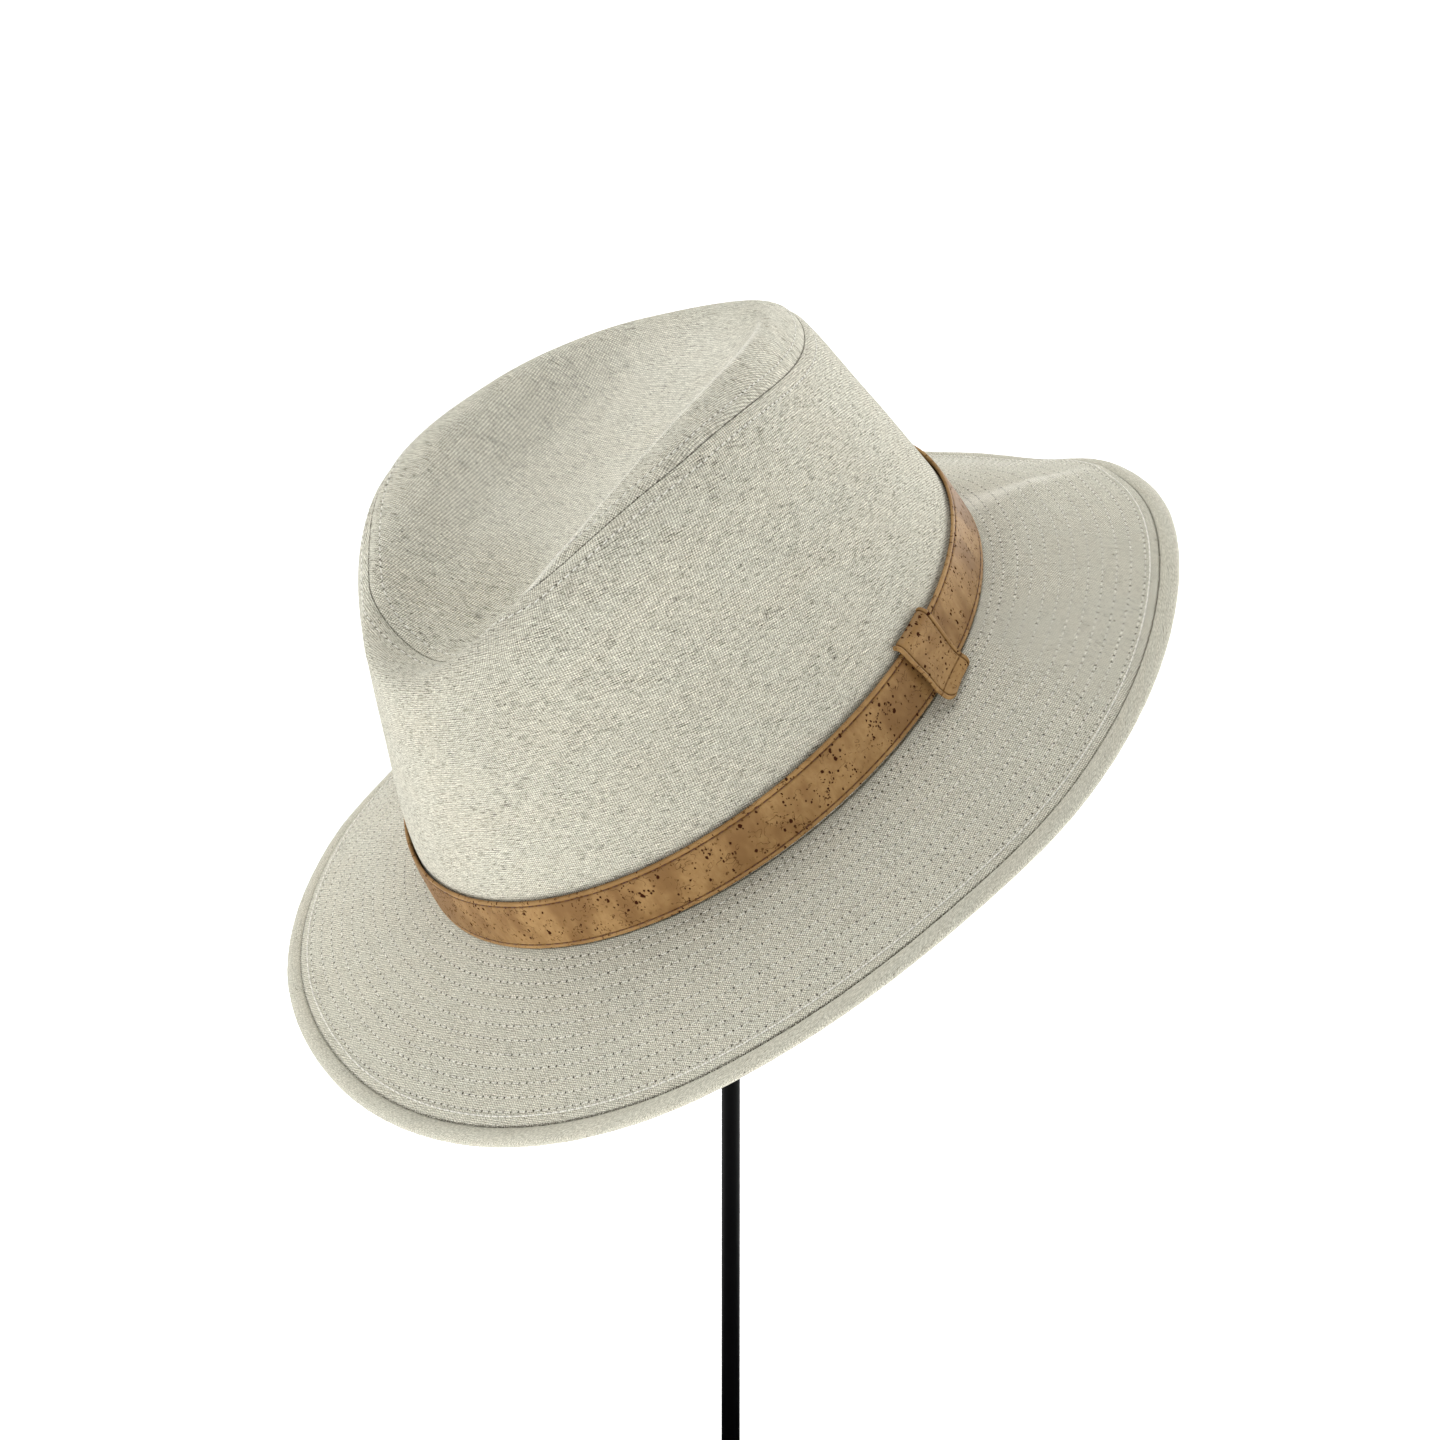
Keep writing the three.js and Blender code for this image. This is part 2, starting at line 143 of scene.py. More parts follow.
# The keeper's path over the band, as height above the foot and distance off the crown, and distances in
# from its long edges of its columns, all in millimetres. Its lower end is rounded off, and a line of
# painted shade crosses it a little above that end, in place of a fold.
KEEPER_PATH = (
    (-1.2, 4.7), (0.3, 3.8), (1.9, 3.0), (3.8, 2.5), (6.3, 2.4), (10.0, 2.55), (14.0, 2.8), (17.2, 2.95),
    (18.9, 2.8), (19.9, 2.0), (20.0, 1.2), (19.3, 0.8),
)
KEEPER_COLUMNS = (
    0, 0.1, 0.25, 0.45, 0.7, 0.95, 1.15, 1.3, 1.4, 1.5, 1.6, 1.7, 1.85, 2.1, 2.6, 3.4, 4.4, 5.6, 7,
)
KEEPER_CORNER, KEEPER_FOLD_SHADE = 2.4 * MM, 3.6 * MM

# The radius of the stand's head. Its neck in millimetres: from the head's middle down to its start, its
# length, and how far it widens.
HEAD_RADIUS = 15.8 * MM
NECK_START, NECK_LENGTH, NECK_FLARE = 26, 10.2, 2.25

# Stitches: length, radius, sides, rise off the cloth, and turn on it. The step between two on the band,
# the steps of the paths that they follow, and the colours of their threads.
CROWN_STITCH = (2.0 * MM, 0.18 * MM, 6, 0.12 * MM, 0.12)
BRIM_STITCH = (2.1 * MM, 0.14 * MM, 5, 0.06 * MM, 0)
EDGE_STITCH = (2.68 * MM, 0.24 * MM, 8, 0.12 * MM, 0)
BAND_STITCH = (2.2 * MM, 0.19 * MM, 6, 0.1 * MM, 0.05)
BAND_PITCH = 3.0 * MM
CROWN_PATH_STEPS, BRIM_PATH_STEPS, BAND_PATH_STEPS = 1200, 1600, 2400
PALE_THREAD = (0.9, 0.88, 0.8)
LINEN_THREAD = (0.88, 0.86, 0.78)
BROWN_THREAD = (0.11, 0.045, 0.022)

# The crossing threads of the weave: the way that their bands follow each other, and their pitch in
# millimetres. A wave texture of scale 1 repeats over this many units.
THREADS = (("X", 0.61), ("Y", 0.65))
WAVE_REPEAT = 0.31416

# Soft square lights, 1.2 m wide, that face the hat: metres to the camera's right, up, and beyond the hat,
# and watts.
LIGHT_SIZE = 1.2
LIGHTS = {
    "left_light": (-1.2, 1.2, 0, 14),
    "right_light": (1.5, 0.3, 0, 6),
    "top_light": (0, 1.7, 0, 18.8),
    "back_light": (1.2, 0.8, 1.2, 23),
}
CAMERA_SHIFT = (0.01068, -0.01163)


class ClothSettings(PropertyGroup):
    """Sizes and colours of the linen panels."""
    thickness: FloatProperty(
        name="Thickness", description="Thickness of the cloth walls", default=2 * MM, unit="LENGTH")
    columns: IntProperty(name="Columns", description="Steps round the crown", default=480, min=72)
    brim_columns: IntProperty(name="Brim Columns", description="Steps round the brim", default=640, min=72)
    wave: FloatProperty(
        name="Unevenness", description="Height of the cloth's slow waves", default=0.22 * MM, unit="LENGTH")
    light: FloatVectorProperty(
        name="Light Thread", description="Colour of the pale threads", subtype="COLOR",
        default=(0.78, 0.763, 0.668))
    grey: FloatVectorProperty(
        name="Grey Thread", description="Colour of the grey threads", subtype="COLOR",
        default=(0.335, 0.322, 0.255))
    fleck: FloatVectorProperty(
        name="Fleck", description="Colour of the dark flecks", subtype="COLOR", default=(0.06, 0.05, 0.032))


class BrimSettings(PropertyGroup):
    """Sizes of the brim, its stitching and its binding."""
    rows: IntProperty(name="Stitch Rows", description="Evenly spaced rows of stitching", default=11, min=1)
    first: FloatProperty(
        name="First Row", description="From the crown to the row beside the band", default=2.4 * MM,
        unit="LENGTH")
    stitch: FloatProperty(
        name="Stitch", description="From one stitch to the next", default=2.7 * MM, unit="LENGTH")
    edge: FloatProperty(
        name="Edge Line", description="From the binding to the thick stitch line", default=3 * MM,
        unit="LENGTH")
    binding_width: FloatProperty(
        name="Binding Width", description="Width of the rolled binding", default=5.6 * MM, unit="LENGTH")
    binding_height: FloatProperty(
        name="Binding Height", description="Height of the rolled binding", default=3.6 * MM, unit="LENGTH")
    tuck: FloatProperty(
        name="Tuck", description="Depth of the brim's edge inside the binding", default=0.5 * MM,
        unit="LENGTH")


class BandSettings(PropertyGroup):
    """Sizes and colours of the cork band and its keeper."""
    low: FloatProperty(
        name="Lower Edge", description="Height of the lower edge", default=1 * MM, unit="LENGTH")
    high: FloatProperty(
        name="Upper Edge", description="Height of the upper edge", default=18 * MM, unit="LENGTH")
    thickness: FloatProperty(
        name="Thickness", description="Thickness of the band", default=1.2 * MM, unit="LENGTH")
    seam: FloatProperty(
        name="Seam Inset", description="From an edge to its stitches", default=1.5 * MM, unit="LENGTH")
    keeper_width: FloatProperty(
        name="Keeper Width", description="Width of the keeper along the band", default=17 * MM,
        unit="LENGTH")
    keeper_angle: FloatProperty(
        name="Keeper Angle", description="Where the keeper sits, from the front", subtype="ANGLE",
        default=math.radians(98.7))
    cork: FloatVectorProperty(
        name="Cork", description="Colour of the cork skin", subtype="COLOR", default=(0.305, 0.18, 0.068))
    pore: FloatVectorProperty(
        name="Pores", description="Colour of its pores", subtype="COLOR", default=(0.04, 0.011, 0.004))


class StandSettings(PropertyGroup):
    """Sizes and colour of the stand."""
    pole: FloatProperty(
        name="Pole Radius", description="Radius of the pole", default=2.75 * MM, unit="LENGTH")
    base: FloatProperty(
        name="Base Radius", description="Radius of the round base", default=80 * MM, unit="LENGTH")
    paint: FloatVectorProperty(
        name="Paint", description="Colour of the paint", subtype="COLOR", default=(0.002, 0.002, 0.0022))


class StageSettings(PropertyGroup):
    """The camera, the lights and the backdrop."""
    distance: FloatProperty(
        name="Distance", description="From the hat to the camera", default=1.408, unit="LENGTH")
    azimuth: FloatProperty(
        name="Azimuth", description="Angle round the hat that the camera looks from", subtype="ANGLE",
        default=math.radians(43.44))
    elevation: FloatProperty(
        name="Elevation", description="Angle above level that the camera looks from", subtype="ANGLE",
        default=math.radians(4.04))
    lens: FloatProperty(name="Lens", description="Focal length", default=121.07, unit="CAMERA")
    backdrop: FloatVectorProperty(
        name="Backdrop", description="Colour of the floor and backdrop", subtype="COLOR",
        default=(0.9, 0.9, 0.9))
    glow: FloatProperty(
        name="Glow", description="Light that the white backdrop gives off", default=1.0, min=0)


class HatSettings(PropertyGroup):
    """All that a user would change."""
    cloth: PointerProperty(type=ClothSettings)
    brim: PointerProperty(type=BrimSettings)
    band: PointerProperty(type=BandSettings)
    stand: PointerProperty(type=StandSettings)
    stage: PointerProperty(type=StageSettings)


def settings():
    """The settings that the panel shows."""
    return bpy.context.scene.safari_hat


# Surfaces of the hat


def placed(points):
    """Tips the hat's own frame forward by the pitch and moves it to its place on the stand."""
    x, y, z = np.moveaxis(points, -1, 0)
    cosine, sine = math.cos(PITCH), math.sin(PITCH)
    return np.stack((y, -x * cosine - z * sine, -x * sine + z * cosine), -1) + HAT_PLACE


def turned(directions):
    """Turns directions as the hat is tipped."""
    return placed(directions) - HAT_PLACE


def unit(vectors):
    """Vectors of length 1."""
    return vectors / np.maximum(np.linalg.norm(vectors, axis=-1, keepdims=True), 1e-12)


def ring_points(row, angle):
    """A ring of the crown. x is a cosine series through its front, side and back, y a sine series
    through its half widths at 45, 90 and 135 degrees, z a cosine series through its five heights."""
    ring = {name: value * MM for name, value in zip(RING_COLUMNS, row)}
    middle = (ring["front"] + ring["back"]) / 4
    x = (middle + ring["side"] / 2 + (ring["front"] - ring["back"]) / 2 * np.cos(angle)
         + (middle - ring["side"] / 2) * np.cos(2 * angle))
    diagonal = (ring["half45"] + ring["half135"]) / math.sqrt(2)
    y = ((diagonal + ring["half90"]) / 2 * np.sin(angle)
         + (ring["half45"] - ring["half135"]) / 2 * np.sin(2 * angle)
         + (diagonal - ring["half90"]) / 2 * np.sin(3 * angle))
    heights = np.array((ring["z0"] / 2, ring["z45"], ring["z90"], ring["z135"], ring["z180"] / 2))
    z = 0
    for order in range(5):
        weight = heights @ np.cos(order * np.arange(5) * math.pi / 4)
        z = z + weight / (2 if order % 4 else 4) * np.cos(order * angle)
    return np.stack((x, y, z), -1)


def crown_surface(angle, place):
    """The crown's outer face: a cubic curve runs through the rings at each angle, and its tangents
    come from the spans to the rings before and after, each taken as the root of its length."""
    angle, place = np.broadcast_arrays(angle, place)
    rings = [ring_points(row, angle) for row in CROWN_RINGS]
    below = 2 * rings[0] - rings[1]
    slope = rings[-2]
    beyond = np.stack((2 * rings[-1][..., 0] - slope[..., 0], -slope[..., 1], slope[..., 2]), -1)
    rings = np.stack([below, *rings, beyond])
    index = np.clip(np.floor(place).astype(int), 0, FLOOR_RING - 1)
    p0, p1, p2, p3 = (np.take_along_axis(rings, (index + k)[None, ..., None], 0)[0] for k in range(4))
    before, step, after = (
        np.sqrt(np.linalg.norm(b - a, axis=-1, keepdims=True) / MM) + 1e-6
        for a, b in ((p0, p1), (p1, p2), (p2, p3)))
    leave = ((p1 - p0) / before + (p2 - p1) / step - (p2 - p0) / (before + step)) * step
    arrive = ((p2 - p1) / step + (p3 - p2) / after - (p3 - p1) / (step + after)) * step
    u = (place - index)[..., None]
    return ((2 * u**3 - 3 * u**2 + 1) * p1 + (u**3 - 2 * u**2 + u) * leave
            + (3 * u**2 - 2 * u**3) * p2 + (u**3 - u**2) * arrive)


def crown_normal(angle, place):
    """The outward normal: the change round the crown crossed with the change up it."""
    at = np.minimum(place, FLOOR_RING - NUDGE)
    along = crown_surface(angle, at + NUDGE) - crown_surface(angle, at - NUDGE)
    around = crown_surface(angle + NUDGE, at) - crown_surface(angle - NUDGE, at)
    normal = np.cross(around, along)
    level = np.broadcast_to(place >= FLOOR_RING, normal.shape[:-1])
    normal[..., 1] = np.where(level, 0, normal[..., 1])
    return unit(normal)


def off_crown(angle, place, distance):
    """A point off the crown's outer face by a distance along its normal."""
    distance = np.broadcast_to(distance, np.broadcast(angle, place).shape)[..., None]
    return crown_surface(angle, place) + crown_normal(angle, place) * distance


def place_at_height(angle, height):
    """The place on the crown's wall at a height, by halving the span eighteen times."""
    low = np.zeros(np.broadcast(angle, height).shape)
    high = low + SEAM_RING
    for _ in range(18):
        middle = (low + high) / 2
        under = crown_surface(angle, middle)[..., 2] < height
        low, high = np.where(under, middle, low), np.where(under, high, middle)
    return low


def seam_place(angle):
    """The seam between the side and the top panel: on its ring at the back, over the crest in front."""
    return SEAM_RING + SEAM_RISE * np.maximum(0, np.cos(angle)) ** SEAM_POWER


def off_seam(angle, distance):
    """Places at distances square to the seam, below it if negative. The crown is measured along each
    column in 240 steps, and a distance is longer there where the column crosses the seam aslant."""
    def seam(turn):
        return crown_surface(angle + turn, seam_place(angle + turn))

    middle = seam_place(angle)
    run = unit(seam(NUDGE) - seam(-NUDGE))
    along = unit(crown_surface(angle, middle + NUDGE) - crown_surface(angle, middle - NUDGE))
    square = np.linalg.norm(np.cross(along, run), axis=-1)
    steps = np.linspace(-1, 1, 241)[:, None]
    places = middle + steps * np.where(steps < 0, np.minimum(middle, 1), np.minimum(FLOOR_RING - middle, 1))
    lengths = np.linalg.norm(np.diff(crown_surface(angle, places), axis=0), axis=-1)
    reach = np.concatenate((np.zeros((1, angle.size)), np.cumsum(lengths, 0)))
    wanted = reach[120] + distance / square
    index = np.clip((reach[None] < wanted[:, None]).sum(1), 1, 240)
    low, high = (np.take_along_axis(reach, index - k, 0) for k in (1, 0))
    before, after = (np.take_along_axis(places, index - k, 0) for k in (1, 0))
    return before + (after - before) * (wanted - low) / (high - low)


def around_brim(column, angle):
    """A smooth periodic curve through the brim's stations, left side first and back along the right:
    uniform Catmull-Rom. column gives the left and the right column of the table."""
    table = np.array(BRIM_STATIONS)
    values = np.concatenate((table[:, column[0]], table[-2:0:-1, column[1]]))
    position = np.asarray(angle) / (2 * math.pi) % 1 * len(values)
    index = np.floor(position).astype(int)
    u = position - index
    v0, v1, v2, v3 = (values[(index + k) % len(values)] for k in (-1, 0, 1, 2))
    return v1 + u / 2 * (v2 - v0 + u * (2 * v0 - 5 * v1 + 4 * v2 - v3 + u * (3 * v1 - v0 - 3 * v2 + v3)))


def brim_width(angle):
    """The brim's width from the oval to its edge."""
    return around_brim((0, 1), angle) * MM


def brim_surface(angle, run, off):
    """A point over the brim: out from an oval by its run down the slope, and off the upper face."""
    angle, run, off = np.broadcast_arrays(angle, run, off)
    droop = np.radians(around_brim((2, 3), angle))
    outward = unit(np.stack((BRIM_WIDE * np.cos(angle), BRIM_LONG * np.sin(angle)), -1))
    oval = np.stack((BRIM_LONG * np.cos(angle), BRIM_WIDE * np.sin(angle)), -1)
    level = run * np.cos(droop) + off * np.sin(droop)
    height = off * np.cos(droop) - run * np.sin(droop)
    return np.concatenate((oval + outward * level[..., None], height[..., None]), -1)


def crest_line(angle, place, width):
    """1 along the crest of the left side, falling away across it as a bell curve, 0 on the right."""
    step = crown_surface(angle, CREST_RING + NUDGE) - crown_surface(angle, CREST_RING)
    distance = (place - CREST_RING) * np.linalg.norm(step, axis=-1) / NUDGE
    return groove(distance, width) * np.clip(3 * np.sin(angle) - 1.2, 0, 1)


def crown_relief(angle, place, distance):
    """Relief of the crown's panels: slow waves, a sharper crest along the left side, an edge turned under
    at the seam in a shallow dip, a groove under each row of stitches, a low swell between the two, and a
    narrow join at the back."""
    fade = np.clip(place, 0, 1) * np.clip(FLOOR_RING - place, 0, 1)
    rise = (settings().cloth.wave * unevenness(angle, place) * fade
            + CREST_RISE * crest_line(angle, place, CREST_SPREAD)
            + SWELL_RISE * groove(distance - SWELL_INSET, SWELL_SPREAD))
    drop = (rolled_edge(distance, SEAM_ROLL) + SEAM_DEPTH * groove(distance, SEAM_SPREAD)
            + ROW_DEPTH * groove(distance - CROWN_STITCH_INSET, ROW_SPREAD))
    join = JOIN_DEPTH * groove((math.pi - np.abs(angle)) * FOOT_RADIUS, JOIN_SPREAD)
    return rise - drop - join * (place < SEAM_RING)


def fold_distance(angle, share):
    """Distance round the brim from the fold's line, which turns back as it runs out."""
    turn = angle % (2 * math.pi) - FOLD_ANGLE - FOLD_TURN * np.abs(share) ** 1.5
    return turn * (FOOT_RADIUS + share * brim_width(angle))


def fold_line(angle, share):
    """1 along the fold's line, widest beside the band. It falls away across the line as a bell curve,
    and along it towards the edge."""
    width = 2.2 * MM + 4.5 * MM * np.clip(1 - 2.5 * share, 0, 1) ** 2
    return groove(fold_distance(angle, share), width) * np.clip(2 - 2.2 * share, 0, 1)


def brim_forms(angle, share):
    """The brim's own bends, from the crown (0) to the edge (1): a soft fold that runs out from the band
    behind the left side, steep in front and gentle behind, and two low places in the edge at the back."""
    across = fold_distance(angle, share)
    width = np.where(across < 0, FOLD_FRONT, FOLD_BACK)
    ridge = FOLD_HEIGHT * np.exp(-(np.sqrt(across**2 + FOLD_TOP**2) - FOLD_TOP) / width)
    fold = ridge * np.clip(share * 2.5, 0, 1) * (1 - np.clip(share, 0, 1) ** 2)
    low = sum(depth * groove(angle % (2 * math.pi) - math.radians(at), math.radians(spread))
              for at, spread, depth in BRIM_LOWS)
    return fold - low * MM * np.clip(share, 0, 1) ** 2


def brim_relief(angle, share):
    """Relief of the brim's faces: its bends, slow waves, a shallow groove along each row of stitches and
    an edge turned under in the ditch beside the binding. Also gives the distance off the nearest row,
    which is negative past the thick edge line."""
    brim = settings().brim
    width = brim_width(angle)
    off_row = np.min(np.abs((share + 0 * angle)[..., None] - brim_row_shares()), -1) * width
    beyond = (share - edge_line_share()) * width
    off_row = np.where(beyond > 0, -EDGE_LINE_STEP - beyond, off_row)
    end = width - brim.binding_width + brim.tuck - share * width
    fade = np.clip(share * 4, 0, 1) * np.clip(end / (6 * MM), 0, 1)
    return (brim_forms(angle, share) + settings().cloth.wave * unevenness(angle, share * 3) * fade
            - 0.07 * MM * groove(off_row, 0.45 * MM) - rolled_edge(end, 1.3 * MM)), off_row


def unevenness(angle, across):
    """Slow soft waves of the cloth, within -1 and 1: four products of a wave round and a wave across."""
    waves = ((3, 2.1, 0.4), (5, 3.7, 1.9), (8, 1.3, 4.1), (13, 5.2, 2.6))
    total = sum(np.sin(turns * angle + shift) * np.cos(folds * across + 2 * shift)
                for turns, folds, shift in waves)
    return total / len(waves)


def groove(distance, width):
    """1 in the middle of a groove, falling away on both sides as a bell curve."""
    return np.exp(-((distance / width) ** 2))


def rolled_edge(distance, radius):
    """How far a turned edge drops: a quarter circle over its last stretch."""
    share = np.clip(1 - distance / radius, 0, 1)
    return radius * (1 - np.sqrt(1 - share**2))


def columns_round(count):
    """Angles of the columns, from the back round the right side, the front and the left side."""
    return -math.pi + 2 * math.pi * np.arange(count) / count


def wrapped(values):
    """A grid with its first column repeated after the last."""
    return np.concatenate((values, values[:, :1]), 1)


def length_round(points):
    """Running length along each row of a grid that goes once round, with the whole length at its end."""
    steps = np.linalg.norm(np.diff(wrapped(points), axis=1), axis=-1)
    return np.concatenate((np.zeros((len(points), 1)), np.cumsum(steps, 1)), 1)


def flat_cone(angle, slant, share, radius):
    """Flat cloth coordinates of a panel cut as a piece of a cone: polar, with a share of the turn."""
    turn, reach = share * angle, radius + slant
    return np.stack(np.broadcast_arrays(reach * np.sin(turn), reach * np.cos(turn)), -1)


# Meshes


def grid_faces(rows, columns, closed=True, folded=False):
    """Quads of a grid whose columns go once round. Its rows close into a loop, or its first and last
    rows are folded shut along the middle line, where mirrored columns share their points."""
    index = np.arange(rows * columns).reshape(rows, columns)
    if folded:
        mirror = np.minimum(np.arange(columns), -np.arange(columns) % columns)
        index[0], index[-1] = index[0, mirror], index[-1, mirror]
    if closed:
        index = np.concatenate((index, index[:1]))
    index = wrapped(index)
    return np.stack((index[:-1, :-1], index[:-1, 1:], index[1:, 1:], index[1:, :-1]), -1).reshape(-1, 4)


def grid_corners(values, closed=True):
    """Values of a grid one column wider than its points, for the four corners of each quad."""
    if closed:
        values = np.concatenate((values, values[:1]))
    corners = (values[:-1, :-1], values[:-1, 1:], values[1:, 1:], values[1:, :-1])
    return np.stack(corners, 2).reshape(-1, 4, 2)


def shade_map(values):
    """A UV map of one value: 0 along u and the value along v, one column wider than the grid."""
    return wrapped(np.stack((0 * values, values), -1))


def make_mesh(name, points, faces, finish, maps=None):
    """Makes one closed mesh. faces holds an array for each number of corners, and maps, for each UV map,
    the corner values in the same arrays. Unused points are dropped, and if the enclosed volume comes out
    negative, every face is turned round."""
    def groups(values):
        return [values] if isinstance(values, np.ndarray) else values

    faces = groups(faces)
    maps = {key: groups(values) for key, values in (maps or {}).items()}
    volume = 0
    for group in faces:
        for k in range(1, group.shape[1] - 1):
            a, b, c = points[group[:, 0]], points[group[:, k]], points[group[:, k + 1]]
            volume += np.einsum("ij,ij->", a, np.cross(b, c))
    if volume < 0:
        faces = [group[:, ::-1] for group in faces]
        maps = {key: [group[:, ::-1] for group in values] for key, values in maps.items()}
    used, corners = np.unique(np.concatenate([group.ravel() for group in faces]), return_inverse=True)
    sizes = np.concatenate([np.full(len(group), group.shape[1]) for group in faces])
    mesh = bpy.data.meshes.new(name)
    mesh.vertices.add(len(used))
    mesh.vertices.foreach_set("co", points[used].astype(np.float32).ravel())
    mesh.loops.add(len(corners))
    mesh.loops.foreach_set("vertex_index", corners.astype(np.int32))
    mesh.polygons.add(len(sizes))
    mesh.polygons.foreach_set("loop_start", (np.cumsum(sizes) - sizes).astype(np.int32))
    mesh.update(calc_edges=True)
    for key, values in maps.items():
        flat = np.concatenate([group.ravel() for group in values])
        mesh.uv_layers.new(name=key).uv.foreach_set("vector", flat.astype(np.float32))
    mesh.shade_smooth()
    if mesh.validate():
        raise RuntimeError(f"the mesh of {name} has faulty faces")
    mesh.materials.append(finish)
    item = bpy.data.objects.new(name, mesh)
    bpy.context.scene.collection.objects.link(item)
    return item


def make_piece(name, points, faces, finish, slot, replaces=(), maps=None):
    """Makes a mesh that rides on the stand's body and hides the solids it stands for. Its slot argument is
    not used.
    """
    piece = make_mesh(name, points, faces, finish, maps)
    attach(piece, "root")
    if replaces:
        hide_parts(*replaces)


def spaced(points, normals, pitch, count=None):
    """Stitches along a closed path: their middles, directions and normals, evenly spaced by length,
    and the running number of stitches at each point of the path."""
    loop = np.concatenate((points, points[:1]))
    facing = np.concatenate((normals, normals[:1]))
    length = np.concatenate(([0], np.cumsum(np.linalg.norm(np.diff(loop, axis=0), axis=1))))
    count = count or round(length[-1] / pitch)
    step = length[-1] / count
    at = (np.arange(count) + 0.5) * step

    def read(where, values):
        return np.stack([np.interp(where, length, column) for column in values.T], -1)

    middle = read(at, loop)
    direction = unit(read(at + step / 4, loop) - read(at - step / 4, loop))
    return middle, direction, unit(read(at, facing)), length[:-1] / step


def stitch_mesh(middle, direction, normal, size):
    """A short thread for each stitch: rings of a circle along it that arch by the rise, thinner and sunk
    at both ends, which are closed by flat caps. Its tilt turns it on the cloth."""
    length, radius, sides, rise, tilt = size
    across = unit(np.cross(normal, direction))
    direction = direction * math.cos(tilt) + across * math.sin(tilt)
    across = unit(np.cross(normal, direction))
    along = np.array((-0.5, -0.3, 0.3, 0.5))
    thick = np.array((0.5, 1, 1, 0.5))
    turn = 2 * math.pi * np.arange(sides) / sides
    reach = along[:, None] * length + 0 * turn
    side = thick[:, None] * radius * np.cos(turn)
    lift = rise - (rise + radius) * (2 * along[:, None]) ** 4 + thick[:, None] * radius * np.sin(turn)
    points = middle[:, None, None] + sum(
        amount[None, ..., None] * axis[:, None, None]
        for amount, axis in ((reach, direction), (side, across), (lift, normal)))
    count, rings = len(middle), len(along)
    index = np.arange(count * rings * sides).reshape(count, rings, sides)
    turned = np.roll(index, -1, 2)
    quads = np.stack((index[:, :-1], index[:, 1:], turned[:, 1:], turned[:, :-1]), -1).reshape(-1, 4)
    caps = np.concatenate((index[:, 0], index[:, -1, ::-1]))
    return points.reshape(-1, 3), [quads, caps]


def joined(meshes):
    """Joins meshes of the same kinds of face into one."""
    points, quads, caps, start = [], [], [], 0
    for part, (four, many) in meshes:
        points.append(part)
        quads.append(four + start)
        caps.append(many + start)
        start += len(part)
    return np.concatenate(points), [np.concatenate(quads), np.concatenate(caps)]


# Finishes


class Finish:
    """A material and short ways to add nodes to it."""

    def __init__(self, name):
        self.material = bpy.data.materials.new(name)
        self.material.use_nodes = True
        self.tree = self.material.node_tree
        self.shader = self.tree.nodes["Principled BSDF"]

    def add(self, kind, inputs=None, output=0, **options):
        """Adds a node, sets its options and its sockets to values or links, and returns an output."""
        node = self.tree.nodes.new("ShaderNode" + kind)
        for key, value in options.items():
            setattr(node, key, value)
        for key, value in (inputs or {}).items():
            if isinstance(value, bpy.types.NodeSocket):
                self.tree.links.new(value, node.inputs[key])
            else:
                node.inputs[key].default_value = value
        return node.outputs[output]

    def set(self, **sockets):
        """Sets the shader's own sockets: underscores stand for the spaces of their names."""
        for key, value in sockets.items():
            socket = self.shader.inputs[key.replace("_", " ")]
            if isinstance(value, bpy.types.NodeSocket):
                self.tree.links.new(value, socket)
            else:
                socket.default_value = value

    def math(self, operation, *values):
        """One step of arithmetic."""
        return self.add("Math", dict(enumerate(values)), operation=operation)

    def blend(self, first, share, second):
        """A share of the first value and the rest of the second."""
        rest = self.math("MULTIPLY", second, 1 - share)
        return self.math("ADD", self.math("MULTIPLY", first, share), rest)

    def ramp(self, value, low, high, start=0.0, end=1.0):
        """Maps low to high onto start to end, smoothly and no further."""
        inputs = {"Value": value, "From Min": low, "From Max": high, "To Min": start, "To Max": end}
        return self.add("MapRange", inputs, interpolation_type="SMOOTHSTEP")

    def mix(self, share, first, second, blend="MIX"):
        """Mixes two colours, or multiplies them."""
        colours = {k: (*v, 1) if isinstance(v, tuple) else v for k, v in ((6, first), (7, second))}
        return self.add("Mix", {0: share, **colours}, 2, data_type="RGBA", blend_type=blend)

    def stretched(self, vector, length, width, shift=0.0, detail=2.0, turn=0.0):
        """Noise stretched into streaks of a length and width in metres."""
        mapped = self.add("Mapping", {
            "Vector": vector, "Location": (shift, shift, 0), "Rotation": (0, 0, turn),
            "Scale": (1 / length, 1 / width, 1 / width)}, vector_type="POINT")
        return self.add("TexNoise", {"Vector": mapped, "Scale": 1.0, "Detail": detail, "Roughness": 0.6})

    def cells(self, vector, length, width, shift=0.0):
        """Voronoi cells of a length and width in metres: a random number for each cell, and the
        distance from its point."""
        mapped = self.add("Mapping", {
            "Vector": vector, "Location": (shift, shift, 0), "Scale": (1 / length, 1 / width, 1)})
        pattern = self.tree.nodes.new("ShaderNodeTexVoronoi")
        self.tree.links.new(mapped, pattern.inputs["Vector"])
        pattern.inputs["Scale"].default_value = 1.0
        return self.add("SeparateColor", {0: pattern.outputs["Color"]}), pattern.outputs["Distance"]

    def map_parts(self, name):
        """Both parts of a UV map."""
        parts = self.tree.nodes.new("ShaderNodeSeparateXYZ")
        self.tree.links.new(self.add("UVMap", uv_map=name), parts.inputs[0])
        return parts.outputs[0], parts.outputs[1]

    def near(self, value, middle, reach, full):
        """1 where a value is less than full off a middle, falling to 0 at its reach."""
        return self.ramp(self.math("ABSOLUTE", self.math("SUBTRACT", value, middle)), reach, full)


